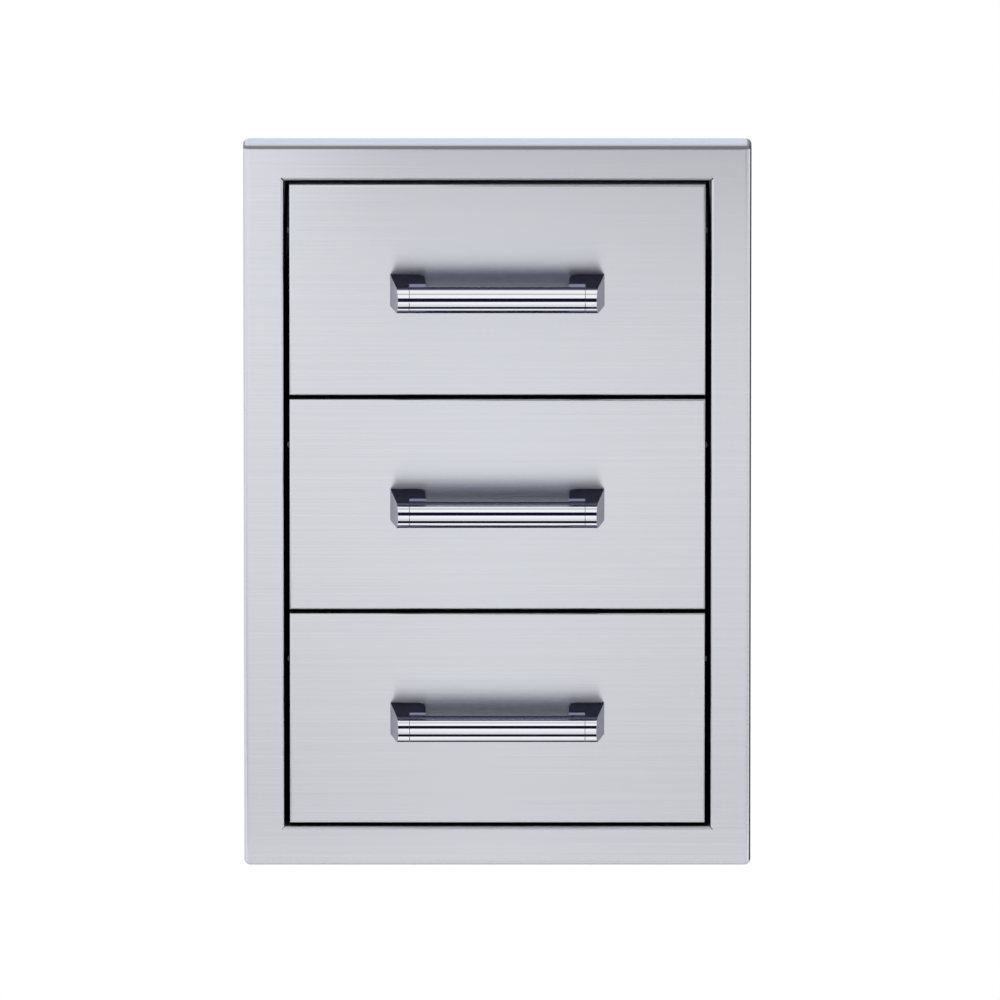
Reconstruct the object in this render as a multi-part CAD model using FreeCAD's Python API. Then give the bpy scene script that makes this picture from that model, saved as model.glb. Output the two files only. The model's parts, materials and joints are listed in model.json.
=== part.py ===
"""Outdoor kitchen drawer unit: three flush stainless drawers in a trim frame, with a cabinet behind it.

Millimetres. The fronts face -Y, +Z is up, and +X is to the right of someone facing the drawers.
The origin is the middle of the cabinet's underside, in the plane of the trim frame's back edge,
which bears on the face of the island that the cabinet is let into.
"""
import FreeCAD, Part
import math
import os

# Trim frame
FRAME_WIDTH = 431.8
FRAME_HEIGHT = 630.0
FRAME_DEPTH = 25.4
FRAME_SHEET = 1.2
FRAME_RADIUS = 5.0
FRAME_SEAT = 12.0
STILE_WIDTH = 34.6
TOP_RAIL = 31.7
BOTTOM_RAIL = 34.3
LIP_DEPTH = 24.0
LIP_RADIUS = 1.6
LIP_SLIT = 0.8

# Cabinet behind the frame, whose top falls away towards the back
CABINET_SHEET = 1.2
CABINET_LAP = 16.0
CABINET_FLANGE = 14.0
CABINET_BEND = 1.4
PANEL_CLEARANCE = 1.0
TOP_PANEL_BACK = 95.0
SIDE_FALL = 13.5

# Drawer fronts
DRAWER_NAMES = ("bottom", "middle", "top")
FRONT_GAP = 3.1
FRONT_SIDE_GAP = 4.2
FRONT_DEPTH = 22.0
FRONT_SHEET = 1.0
FRONT_RADIUS = 1.8
LINER_FLANGE = 15.0
LINER_CLEARANCE = 0.15

# Drawer boxes
TUB_RISE = 12.0
TUB_DROP = 67.9
TUB_SHEET = 1.0
TUB_RADIUS = 3.0
TUB_RIM = 9.0

# Telescopic slides
SLIDE_SPACE = 12.7
SLIDE_HEIGHT = 45.7
SLIDE_LENGTH = 400.0
SLIDE_START = 4.0
SLIDE_END_SPACE = 25.0
SLIDE_SHEET = 1.2
SLIDE_BEND = 1.5
SLIDE_SIDE_CLEARANCE = 0.35
SLIDE_OVERLAP = 10.0
OUTER_HOOK = 10.0
MIDDLE_TIP = -25.0
INNER_TROUGH = (250.0, 320.0)
BALL_DIAMETER = 4.0
BALL_CLEARANCE = 0.25
BALL_ROW_SHIFT = 3.4
CAGE_SHEET = 0.4
CAGE_END_SPACE = 15.0
CAGE_WEB_CLEARANCE = 0.2
CAGE_WINDOWS = 5
CAGE_FLANGE_END = 2.0

# Handles
BAR_DIAMETER = 22.2
BAR_WALL = 1.5
BAR_LENGTH = 149.8
BAR_STANDOFF = 39.5
COLLAR_LENGTH = 9.4
BRACKET_SPLAY = 6.8
BRACKET_FLARE = 5.3
BRACKET_BASE_WIDTH = 25.2
BRACKET_NECK_WIDTH = 23.9
BRACKET_WAIST_SHIFT = 1.0
BRACKET_WAIST_DEPTH = 12.0
BRACKET_HEEL_INSET = 3.15
BRACKET_HEEL_DEPTH = 4.8
BRACKET_EDGE_RADIUS = 0.6
SPIGOT_LENGTH = 8.0
SPIGOT_CLEARANCE = 0.1
SADDLE_DEPTH = 1.0
HANDLE_SCREW_DIAMETER = 5.0
HANDLE_SCREW_LENGTH = 12.0
SCREW_HEAD_DIAMETER = 9.0
SCREW_HEAD_HEIGHT = 3.0

# Rivets and fixing holes
RIVET_DIAMETER = 3.2
RIVET_HEAD_DIAMETER = 6.0
RIVET_HEAD_HEIGHT = 1.5
RIVET_CROWN_DIAMETER = 3.6
HOLE_CLEARANCE = 0.05
NIB_DROP = 43.0
NIB_INSET = 33.0
SLIDE_RIVETS = 3
SLIDE_RIVET_INSET = 35.0
LIP_RIVETS = 4
LIP_RIVET_INSET = 50.0
REAR_RIVET_INSET = 8.0
FIXING_HOLE_DIAMETER = 5.5
FIXING_HOLE_INSET = 45.0

# Rubber buffers on the cabinet's rear panel
BUFFER_DIAMETER = 16.0
BUFFER_LENGTH = 11.3
BUFFER_SPREAD = 240.0
BUFFER_GAP = 0.5

# How far a cut reaches past what it cuts
CUT_REACH = 1.0

# Levels and planes that follow from the sizes above
FACE_Y = -FRAME_DEPTH
FRONT_BACK_Y = FACE_Y + FRONT_DEPTH
LIP_BACK_Y = FACE_Y + LIP_DEPTH
OPENING_WIDTH = FRAME_WIDTH - 2 * STILE_WIDTH
OPENING_HEIGHT = FRAME_HEIGHT - TOP_RAIL - BOTTOM_RAIL
OPENING_BOTTOM = CABINET_SHEET + FRAME_SHEET
OPENING_TOP = OPENING_BOTTOM + OPENING_HEIGHT
FRAME_BOTTOM = OPENING_BOTTOM - BOTTOM_RAIL
CABINET_TOP = OPENING_TOP + FRAME_SHEET + CABINET_SHEET
WALL_X = OPENING_WIDTH / 2 + FRAME_SHEET
CABINET_FRONT_Y = LIP_BACK_Y - CABINET_LAP
FRONT_WIDTH = OPENING_WIDTH - 2 * FRONT_SIDE_GAP
FRONT_HEIGHT = (OPENING_HEIGHT - (len(DRAWER_NAMES) + 1) * FRONT_GAP) / len(DRAWER_NAMES)
FRONT_PITCH = FRONT_HEIGHT + FRONT_GAP
SLIDE_FRONT_Y = LIP_BACK_Y + SLIDE_START
CABINET_BACK = SLIDE_FRONT_Y + SLIDE_LENGTH + SLIDE_END_SPACE
TUB_HALF_WIDTH = WALL_X - SLIDE_SPACE
TUB_HEIGHT = FRONT_HEIGHT - TUB_RISE - TUB_DROP
TUB_BACK = CABINET_BACK - CABINET_SHEET - BUFFER_LENGTH - BUFFER_GAP
TRAVEL = SLIDE_LENGTH - SLIDE_OVERLAP
CAGE_LENGTH = SLIDE_LENGTH - TRAVEL / 2 - 2 * CAGE_END_SPACE
SLIDE_RISE = TUB_RISE + TUB_HEIGHT / 2
RACE_RADIUS = BALL_DIAMETER / 2 + BALL_CLEARANCE
RACE_LINE = RACE_RADIUS + SLIDE_SHEET / 2
BAR_Y = FACE_Y - BAR_STANDOFF
BAR_RADIUS = BAR_DIAMETER / 2
COLLAR_END = BAR_LENGTH / 2 + COLLAR_LENGTH
BRACKET_BASE_OUTER = COLLAR_END + BRACKET_SPLAY
BRACKET_BASE_INNER = BRACKET_BASE_OUTER - BRACKET_BASE_WIDTH
BRACKET_BASE_HEIGHT = BAR_DIAMETER + BRACKET_FLARE
BRACKET_NECK_INNER = COLLAR_END - BRACKET_NECK_WIDTH
BRACKET_WAIST_INNER = BRACKET_NECK_INNER + BRACKET_WAIST_SHIFT


def save(name, shape):
    """Write one sub-part to its own file."""
    shape.exportStep("parts/" + name + ".step")


def box(x_low, x_high, y_low, y_high, z_low, z_high):
    """Block between two corners."""
    corner = FreeCAD.Vector(x_low, y_low, z_low)
    return Part.makeBox(x_high - x_low, y_high - y_low, z_high - z_low, corner)


def rod(point, direction, radius, length):
    """Round bar from a point along a direction."""
    return Part.makeCylinder(radius, length, FreeCAD.Vector(*point), FreeCAD.Vector(*direction))


def mirrored(shape):
    """Copy on the other side of the unit."""
    return shape.mirror(FreeCAD.Vector(0, 0, 0), FreeCAD.Vector(1, 0, 0))


def spread(first, last, count):
    """Evenly spaced places from first to last."""
    return [first + (last - first) * i / (count - 1) for i in range(count)]


def edges_along(shape, axis, place=None):
    """Straight edges parallel to one axis (0, 1 or 2), or only those lying at a place on another axis."""
    found = []
    for edge in shape.Edges:
        spans = [edge.BoundBox.XLength, edge.BoundBox.YLength, edge.BoundBox.ZLength]
        middle = edge.BoundBox.Center
        if spans[axis] > 1 and sum(spans) - spans[axis] < 0.01:
            if place is None or abs(middle[place[0]] - place[1]) < 0.01:
                found.append(edge)
    return found


def strip(start, heading, steps, sheet, place):
    """Cross-section of a folded sheet, as a face.

    The sheet's middle line starts at a point with a heading in degrees. A number among the steps is a
    straight run, and a pair is a bend: its middle radius and its turn in degrees, positive to the left.
    place turns the two flat coordinates into a point in space.
    """
    u, v = start
    angle = math.radians(heading)
    edges = {-1: [], 1: []}
    ends = []
    for number, step in enumerate(steps):
        bend = isinstance(step, tuple)
        radius, turn = step if bend else (step, 0.0)
        hand = math.copysign(1, turn)
        centre_u = u - math.sin(angle) * radius * hand
        centre_v = v + math.cos(angle) * radius * hand
        swing = math.radians(turn)
        for side in edges:
            if bend:
                reach = radius - side * hand * sheet / 2
                arms = [angle - hand * math.pi / 2 + swing * part / 2 for part in range(3)]
                spots = [(centre_u + reach * math.cos(a), centre_v + reach * math.sin(a)) for a in arms]
                points = [place(u_at, v_at) for u_at, v_at in spots]
                edges[side].append(Part.Arc(*points).toShape())
            else:
                left_u = u - math.sin(angle) * side * sheet / 2
                left_v = v + math.cos(angle) * side * sheet / 2
                far_u = left_u + math.cos(angle) * step
                far_v = left_v + math.sin(angle) * step
                points = [place(left_u, left_v), place(far_u, far_v)]
                edges[side].append(Part.LineSegment(*points).toShape())
            if number == 0:
                ends.append(points[0])
            if number == len(steps) - 1:
                ends.append(points[-1])
        if bend:
            u = centre_u + radius * math.sin(angle + swing) * hand
            v = centre_v - radius * math.cos(angle + swing) * hand
            angle += swing
        else:
            u += math.cos(angle) * step
            v += math.sin(angle) * step
    caps = [Part.LineSegment(ends[0], ends[1]).toShape(), Part.LineSegment(ends[-2], ends[-1]).toShape()]
    return Part.Face(Part.Wire(Part.__sortEdges__(edges[-1] + edges[1] + caps)))


def rivet(point, direction, grip):
    """Domed rivet: the head stands on the point, and the shank runs back through the grip."""
    back = [-d for d in direction]
    head = Part.makeCone(RIVET_HEAD_DIAMETER / 2, RIVET_CROWN_DIAMETER / 2, RIVET_HEAD_HEIGHT,
                         FreeCAD.Vector(*point), FreeCAD.Vector(*direction))
    return head.fuse(rod(point, back, RIVET_DIAMETER / 2, grip))


def rivet_hole(point, direction):
    """Clearance hole through the sheets that a domed rivet passes, centred on a point."""
    reach = RIVET_HEAD_DIAMETER
    start = [p - d * reach for p, d in zip(point, direction)]
    return rod(start, direction, RIVET_DIAMETER / 2 + HOLE_CLEARANCE, 2 * reach)


def flush_rivet(point, direction, grip, clearance=0.0):
    """Countersunk rivet, flush with the outside of the cabinet; with a clearance, the hole for one."""
    back = FreeCAD.Vector(*[-d for d in direction])
    head = Part.makeCone(RIVET_HEAD_DIAMETER / 2 + clearance, RIVET_DIAMETER / 2 + clearance,
                         CABINET_SHEET, FreeCAD.Vector(*point), back)
    return head.fuse(rod(point, back, RIVET_DIAMETER / 2 + clearance, grip))


def front_bottom(level):
    """Height of the lower edge of one drawer front."""
    return OPENING_BOTTOM + FRONT_GAP + level * FRONT_PITCH


def slide_level(level):
    """Height of the middle of one drawer's slides."""
    return front_bottom(level) + SLIDE_RISE


def side_top(y):
    """Height of the side panels' top edge behind the top panel."""
    return CABINET_TOP - (y - TOP_PANEL_BACK) * math.tan(math.radians(SIDE_FALL))


def lip_rivet_places():
    """Where the rivets join the frame's lips to the cabinet: (point on the outside, outward direction)."""
    y = LIP_BACK_Y - CABINET_LAP / 2
    places = []
    outer_x = WALL_X + CABINET_SHEET
    for z in spread(OPENING_BOTTOM + LIP_RIVET_INSET, OPENING_TOP - LIP_RIVET_INSET, LIP_RIVETS):
        places += [((outer_x, y, z), (1, 0, 0)), ((-outer_x, y, z), (-1, 0, 0))]
    reach = OPENING_WIDTH / 2 - LIP_RIVET_INSET
    for x in spread(-reach, reach, LIP_RIVETS - 1):
        places += [((x, y, CABINET_TOP), (0, 0, 1)), ((x, y, 0.0), (0, 0, -1))]
    return places


def slide_rivet_places():
    """Where the outer slide members are riveted to the side panels, with the heads outside."""
    places = []
    first = SLIDE_FRONT_Y + SLIDE_RIVET_INSET
    last = SLIDE_FRONT_Y + SLIDE_LENGTH - SLIDE_RIVET_INSET
    for level in range(len(DRAWER_NAMES)):
        for y in spread(first, last, SLIDE_RIVETS):
            for hand in (1, -1):
                point = (hand * (WALL_X + CABINET_SHEET), y, slide_level(level))
                places.append((point, (hand, 0, 0)))
    return places


def rear_rivet_places():
    """Where the rear panel is riveted to the side panels' flanges."""
    x = WALL_X + CABINET_SHEET - REAR_RIVET_INSET
    places = []
    for z in spread(LIP_RIVET_INSET, side_top(CABINET_BACK) - LIP_RIVET_INSET, LIP_RIVETS):
        places += [((x, CABINET_BACK, z), (0, 1, 0)), ((-x, CABINET_BACK, z), (0, 1, 0))]
    return places


def drilled(shape, places, flush=False):
    """The shape with a hole for each rivet that passes through it."""
    for point, direction in places:
        hole = rivet_hole(point, direction)
        if flush:
            hole = flush_rivet(point, direction, 2 * CABINET_SHEET + SLIDE_SHEET, HOLE_CLEARANCE)
        if hole.BoundBox.intersect(shape.BoundBox):
            shape = shape.cut(hole)
    return shape


def frame_shell():
    """Pressed tray with a round front edge and round corners, closed in front and open behind."""
    half = FRAME_WIDTH / 2
    outer = box(-half, half, FACE_Y, 0, FRAME_BOTTOM, FRAME_BOTTOM + FRAME_HEIGHT)
    outer = outer.makeFillet(FRAME_RADIUS, edges_along(outer, 1) + front_edges(outer, FACE_Y))
    wall = FRAME_SHEET
    inner = box(-half + wall, half - wall, FACE_Y + wall, -wall,
                FRAME_BOTTOM + wall, FRAME_BOTTOM + FRAME_HEIGHT - wall)
    inner = inner.makeFillet(FRAME_RADIUS - wall, edges_along(inner, 1) + front_edges(inner, FACE_Y + wall))
    back = box(-half + FRAME_SEAT, half - FRAME_SEAT, -2 * wall, wall,
               FRAME_BOTTOM + FRAME_SEAT, FRAME_BOTTOM + FRAME_HEIGHT - FRAME_SEAT)
    return outer.cut(inner).cut(back)


def front_edges(shape, y):
    """The four edges round the front of a block."""
    return edges_along(shape, 0, (1, y)) + edges_along(shape, 2, (1, y))


def frame_lip(run, place):
    """One lip of the opening: turned back from the face by a bend, with ends cut to the corners' diagonals.

    A slit stays open along each diagonal, so that two lips never touch.
    """
    clear = LIP_RADIUS + FRAME_SHEET
    start = (clear, FACE_Y + FRAME_SHEET / 2)
    steps = [(LIP_RADIUS + FRAME_SHEET / 2, -90), LIP_DEPTH - clear]
    way = run / run.Length
    section = strip(start, 180, steps, FRAME_SHEET, place)
    section.translate(way * -clear)
    lip = section.extrude(run + way * (2 * clear))
    reach = clear + CUT_REACH
    ends = [(-CUT_REACH, LIP_SLIT + CUT_REACH), (reach, LIP_SLIT - reach)]
    corners = ends + [(out, run.Length - along) for out, along in reversed(ends)]
    outline = [place(out, FACE_Y - CUT_REACH) + way * along for out, along in corners]
    mitred = Part.Face(Part.makePolygon(outline + outline[:1]))
    return lip.common(mitred.extrude(FreeCAD.Vector(0, LIP_DEPTH + 2 * CUT_REACH, 0)))


def face_frame():
    """Trim frame: tray, opening and four turned-back lips that meet at slit corners."""
    clear = LIP_RADIUS + FRAME_SHEET
    half = OPENING_WIDTH / 2
    opening = box(-half - clear, half + clear, FACE_Y - CUT_REACH, FACE_Y + FRAME_SHEET + CUT_REACH,
                  OPENING_BOTTOM - clear, OPENING_TOP + clear)
    shell = frame_shell().cut(opening)
    upright = FreeCAD.Vector(0, 0, OPENING_HEIGHT)
    level = FreeCAD.Vector(OPENING_WIDTH, 0, 0)
    right = frame_lip(upright, lambda u, v: FreeCAD.Vector(half + u, v, OPENING_BOTTOM))
    top = frame_lip(level, lambda u, v: FreeCAD.Vector(-half, v, OPENING_TOP + u))
    bottom = frame_lip(level, lambda u, v: FreeCAD.Vector(-half, v, OPENING_BOTTOM - u))
    frame = shell.fuse([right, mirrored(right), top, bottom]).removeSplitter()
    save("face_frame", drilled(frame, lip_rivet_places(), True))


def fixing_hole_places():
    """Heights and depths of the holes through which each side panel is screwed to the island."""
    first = SLIDE_FRONT_Y + FIXING_HOLE_INSET
    last = SLIDE_FRONT_Y + SLIDE_LENGTH - FIXING_HOLE_INSET
    return [(y, slide_level(level) + FRONT_PITCH / 2) for level in (0, 1) for y in (first, last)]


def above_sides():
    """Wedge over the falling part of the side panels' top edge."""
    back = CABINET_BACK + CUT_REACH
    corners = [(TOP_PANEL_BACK, CABINET_TOP), (back, side_top(back)), (back, CABINET_TOP + CUT_REACH),
               (TOP_PANEL_BACK, CABINET_TOP + CUT_REACH), (TOP_PANEL_BACK, CABINET_TOP)]
    outline = Part.makePolygon([FreeCAD.Vector(0, y, z) for y, z in corners])
    return Part.Face(outline).extrude(FreeCAD.Vector(FRAME_WIDTH, 0, 0))


def side_panels():
    """Side panels: one folded sheet each, lapped on the frame's lip, with a flange at the back."""
    middle = CABINET_BEND + CABINET_SHEET / 2
    run = CABINET_BACK - CABINET_SHEET - CABINET_FRONT_Y - CABINET_BEND - CABINET_SHEET
    flange = CABINET_FLANGE - CABINET_BEND - CABINET_SHEET
    start = (WALL_X + CABINET_SHEET / 2, CABINET_FRONT_Y)
    section = strip(start, 90, [run, (middle, 90), flange], CABINET_SHEET,
                    lambda u, v: FreeCAD.Vector(u, v, 0))
    panel = section.extrude(FreeCAD.Vector(0, 0, CABINET_TOP)).cut(above_sides())
    for y, z in fixing_hole_places():
        start = (WALL_X - CUT_REACH, y, z)
        panel = panel.cut(rod(start, (1, 0, 0), FIXING_HOLE_DIAMETER / 2, CABINET_SHEET + 2 * CUT_REACH))
    places = lip_rivet_places() + slide_rivet_places() + rear_rivet_places()
    panel = drilled(panel, [(point, direction) for point, direction in places if point[0] > 0], True)
    save("right_side_panel", panel)
    save("left_side_panel", mirrored(panel))


def tie_panel(level, up, back):
    """Top or bottom panel: a tray between the side panels, lapped on the frame's lip in front."""
    middle = CABINET_BEND + CABINET_SHEET / 2
    width = 2 * (WALL_X - CABINET_BEND - CABINET_SHEET)
    flange = CABINET_FLANGE - CABINET_BEND - CABINET_SHEET
    start = (-WALL_X + CABINET_SHEET / 2, level + up * CABINET_FLANGE)
    steps = [flange, (middle, up * 90), width, (middle, up * 90), flange]
    front = LIP_BACK_Y + PANEL_CLEARANCE
    section = strip(start, -up * 90, steps, CABINET_SHEET, lambda u, v: FreeCAD.Vector(u, front, v))
    tray = section.extrude(FreeCAD.Vector(0, back - front, 0))
    low, high = sorted((level, level + up * CABINET_SHEET))
    tongue = box(-WALL_X + CABINET_BEND + CABINET_SHEET, WALL_X - CABINET_BEND - CABINET_SHEET,
                 CABINET_FRONT_Y, front, low, high)
    return drilled(tray.fuse(tongue).removeSplitter(), lip_rivet_places(), True)


def cabinet():
    """Top, bottom and rear panels, with the rivets and the rubber buffers."""
    floor_back = CABINET_BACK - 2 * CABINET_SHEET - CABINET_BEND - PANEL_CLEARANCE
    save("bottom_panel", tie_panel(0.0, 1, floor_back))
    save("top_panel", tie_panel(CABINET_TOP, -1, TOP_PANEL_BACK))
    outer_x = WALL_X + CABINET_SHEET
    rear = box(-outer_x, outer_x, CABINET_BACK - CABINET_SHEET, CABINET_BACK, 0, side_top(CABINET_BACK))
    rear = drilled(rear, rear_rivet_places(), True)
    stem = BUFFER_DIAMETER / 4
    buffers = []
    inside = CABINET_BACK - CABINET_SHEET
    tip = inside - BUFFER_LENGTH
    for level in range(len(DRAWER_NAMES)):
        for x in (-BUFFER_SPREAD / 2, BUFFER_SPREAD / 2):
            z = slide_level(level)
            rear = rear.cut(rod((x, inside - CUT_REACH, z), (0, 1, 0), stem + HOLE_CLEARANCE,
                                CABINET_SHEET + 2 * CUT_REACH))
            pad = rod((x, tip, z), (0, 1, 0), BUFFER_DIAMETER / 2, inside - tip)
            pad = pad.makeChamfer(BUFFER_DIAMETER / 8, [e for e in pad.Edges if e.BoundBox.YMax < tip + 0.1])
            foot = rod((x, inside, z), (0, 1, 0), stem, CABINET_SHEET)
            button = rod((x, CABINET_BACK, z), (0, 1, 0), BUFFER_DIAMETER / 3, CABINET_SHEET)
            buffers.append(pad.fuse([foot, button]))
    save("rear_panel", rear)
    save("rear_buffers", Part.makeCompound(buffers))
    lap = FRAME_SHEET + CABINET_SHEET
    web = SLIDE_SHEET + CABINET_SHEET
    laps = lip_rivet_places() + rear_rivet_places()
    joined = [flush_rivet(point, direction, lap) for point, direction in laps]
    joined += [flush_rivet(point, direction, web) for point, direction in slide_rivet_places()]
    save("cabinet_rivets", Part.makeCompound(joined))


def slide_place(y, level):
    """Point in space from the distance off the right side panel and the height off the slide's middle."""
    return lambda u, v: FreeCAD.Vector(WALL_X - u, y, slide_level(level) + v)


def ball_rows():
    """Ball centres of the outer and the inner stage: distance off the side panel, height off the middle."""
    outer_u = SLIDE_SPACE - SLIDE_SIDE_CLEARANCE - RACE_RADIUS - SLIDE_SHEET
    outer_v = SLIDE_HEIGHT / 2 - RACE_RADIUS - SLIDE_SHEET
    inner_u = outer_u - BALL_ROW_SHIFT
    inner_v = outer_v - math.sqrt((2 * RACE_LINE) ** 2 - BALL_ROW_SHIFT ** 2)
    return (outer_u, outer_v), (inner_u, inner_v)


def on_circle(centre, radius, degrees):
    """Point on a circle."""
    return (centre[0] + radius * math.cos(math.radians(degrees)),
            centre[1] + radius * math.sin(math.radians(degrees)))


def outer_member(level):
    """Cabinet member: a channel whose two lips are rolled round the outer balls."""
    ball = ball_rows()[0]
    flat = ball[0] - SLIDE_SHEET / 2 - SLIDE_BEND
    web = 2 * (ball[1] + RACE_LINE - SLIDE_BEND)
    lip = (RACE_LINE, 90 - OUTER_HOOK)
    steps = [lip, flat, (SLIDE_BEND, 90), web, (SLIDE_BEND, 90), flat, lip]
    face = strip(on_circle(ball, RACE_LINE, OUTER_HOOK), 90 + OUTER_HOOK, steps, SLIDE_SHEET,
                 slide_place(SLIDE_FRONT_Y, level))
    return face.extrude(FreeCAD.Vector(0, SLIDE_LENGTH, 0))


def middle_member(level):
    """Middle member: an S-shaped flange at each edge runs over the inner balls and under the outer ones."""
    outer, inner = ball_rows()
    lean = math.degrees(math.atan2(outer[1] - inner[1], outer[0] - inner[0]))
    trough = (RACE_LINE, -(180 - lean + MIDDLE_TIP))
    crown = (RACE_LINE, 180 - lean)
    steps = [trough, crown, 2 * inner[1], crown, trough]
    face = strip(on_circle(outer, RACE_LINE, MIDDLE_TIP), MIDDLE_TIP - 90, steps, SLIDE_SHEET,
                 slide_place(SLIDE_FRONT_Y, level))
    return face.extrude(FreeCAD.Vector(0, SLIDE_LENGTH, 0))


def inner_member(level):
    """Drawer member: a channel whose edges are rolled under the inner balls."""
    ball = ball_rows()[1]
    first, last = INNER_TROUGH
    rise = last - 270
    out_u, out_v = on_circle(ball, RACE_LINE, last)
    ease_u = out_u + SLIDE_BEND * math.sin(math.radians(rise))
    ease_v = out_v + SLIDE_BEND * (1 - math.cos(math.radians(rise)))
    web_u = SLIDE_SPACE - SLIDE_SHEET / 2
    flat = web_u - SLIDE_BEND - ease_u
    web = 2 * (ease_v - SLIDE_BEND)
    trough = (RACE_LINE, last - first)
    ease = (SLIDE_BEND, -rise)
    corner = (SLIDE_BEND, -90)
    steps = [trough, ease, flat, corner, web, corner, flat, ease, trough]
    face = strip(on_circle(ball, RACE_LINE, first), first + 90, steps, SLIDE_SHEET,
                 slide_place(SLIDE_FRONT_Y, level))
    return face.extrude(FreeCAD.Vector(0, SLIDE_LENGTH, 0))


def ball_cage(level, ball, web_u):
    """Ball retainer of one stage: a thin channel with a row of round ball windows in each flange."""
    tip_u = ball[0] + CAGE_FLANGE_END
    front = SLIDE_FRONT_Y + (SLIDE_LENGTH - CAGE_LENGTH) / 2
    bend = CAGE_SHEET
    flange = tip_u - web_u - bend
    steps = [flange, (bend, 90), 2 * (ball[1] - bend), (bend, 90), flange]
    face = strip((tip_u, ball[1]), 180, steps, CAGE_SHEET, slide_place(front, level))
    cage = face.extrude(FreeCAD.Vector(0, CAGE_LENGTH, 0))
    window = BALL_DIAMETER / 2 + BALL_CLEARANCE / 2
    margin = 2 * BALL_DIAMETER
    for y in spread(front + margin, front + CAGE_LENGTH - margin, CAGE_WINDOWS):
        for v in (-ball[1], ball[1]):
            point = (WALL_X - ball[0], y, slide_level(level) + v - BALL_DIAMETER / 2)
            cage = cage.cut(rod(point, (0, 0, 1), window, BALL_DIAMETER))
    return cage


def slides(level, name):
    """Both telescopic slides of one drawer: three rolled members and two ball cages on each side."""
    outer_ball, inner_ball = ball_rows()
    outer = drilled(outer_member(level), slide_rivet_places(), True)
    middle = middle_member(level)
    inner = drilled(inner_member(level), slide_screw_places(level))
    outer_cage = ball_cage(level, outer_ball, SLIDE_SHEET + CAGE_WEB_CLEARANCE + CAGE_SHEET / 2)
    middle_web = inner_ball[0] - RACE_LINE + SLIDE_SHEET / 2
    inner_cage = ball_cage(level, inner_ball, middle_web + CAGE_WEB_CLEARANCE + CAGE_SHEET / 2)
    for side, place in (("right", lambda shape: shape), ("left", mirrored)):
        save(name + "_" + side + "_slide_outer", place(outer))
        save(name + "_" + side + "_slide_middle", place(middle))
        save(name + "_" + side + "_slide_inner", place(inner))
    save(name + "_slide_outer_cages", Part.makeCompound([outer_cage, mirrored(outer_cage)]))
    save(name + "_slide_inner_cages", Part.makeCompound([inner_cage, mirrored(inner_cage)]))
    screws = [rivet(point, direction, SLIDE_SHEET + TUB_SHEET)
              for point, direction in slide_screw_places(level)]
    save(name + "_slide_rivets", Part.makeCompound(screws + [mirrored(screw) for screw in screws]))


def slide_screw_places(level):
    """Where the right inner member is riveted to the drawer box, with the heads in the member's channel."""
    first = SLIDE_FRONT_Y + SLIDE_RIVET_INSET
    last = SLIDE_FRONT_Y + SLIDE_LENGTH - SLIDE_RIVET_INSET
    x = TUB_HALF_WIDTH + SLIDE_SHEET
    return [((x, y, slide_level(level)), (1, 0, 0)) for y in spread(first, last, SLIDE_RIVETS)]


def front_rivet_places(level):
    """Two rivets in the sides and two in the bottom of one drawer front, which hold skin and liner."""
    half = FRONT_WIDTH / 2
    y = FRONT_BACK_Y - LINER_FLANGE / 2
    top = front_bottom(level) + FRONT_HEIGHT
    places = []
    for hand in (1, -1):
        places.append(((hand * half, y, top - NIB_DROP), (hand, 0, 0)))
        places.append(((hand * (half - NIB_INSET), y, front_bottom(level)), (0, 0, -1)))
    return places


def tub_rivet_places(level):
    """Four rivets that hold the drawer box to the back of the front, with their heads inside the box."""
    reach = TUB_HALF_WIDTH - LIP_RIVET_INSET
    low = front_bottom(level) + TUB_RISE
    y = FRONT_BACK_Y + TUB_SHEET
    return [((x, y, z), (0, 1, 0)) for x in (-reach, reach)
            for z in (low + TUB_HEIGHT / 4, low + 3 * TUB_HEIGHT / 4)]


def handle_screw_places(level):
    """Centres of the two handle screws of one drawer, on the face of the front."""
    x = (BRACKET_BASE_INNER + BRACKET_BASE_OUTER) / 2
    z = front_bottom(level) + FRONT_HEIGHT / 2
    return [(x, FACE_Y, z), (-x, FACE_Y, z)]


def drawer_skin(level):
    """Outer skin of the front: a tray folded from one sheet, with square corners and round front edges."""
    half = FRONT_WIDTH / 2
    low = front_bottom(level)
    high = low + FRONT_HEIGHT
    wall = FRONT_SHEET
    outer = box(-half, half, FACE_Y, FRONT_BACK_Y, low, high)
    outer = outer.makeFillet(FRONT_RADIUS, front_edges(outer, FACE_Y))
    inner = box(-half + wall, half - wall, FACE_Y + wall, FRONT_BACK_Y + CUT_REACH, low + wall, high - wall)
    inner = inner.makeFillet(FRONT_RADIUS - wall, front_edges(inner, FACE_Y + wall))
    skin = drilled(outer.cut(inner), front_rivet_places(level))
    for point in handle_screw_places(level):
        skin = skin.cut(rod((point[0], FACE_Y - CUT_REACH, point[2]), (0, 1, 0),
                            HANDLE_SCREW_DIAMETER / 2 + HOLE_CLEARANCE, FRONT_SHEET + 2 * CUT_REACH))
    return skin


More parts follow.
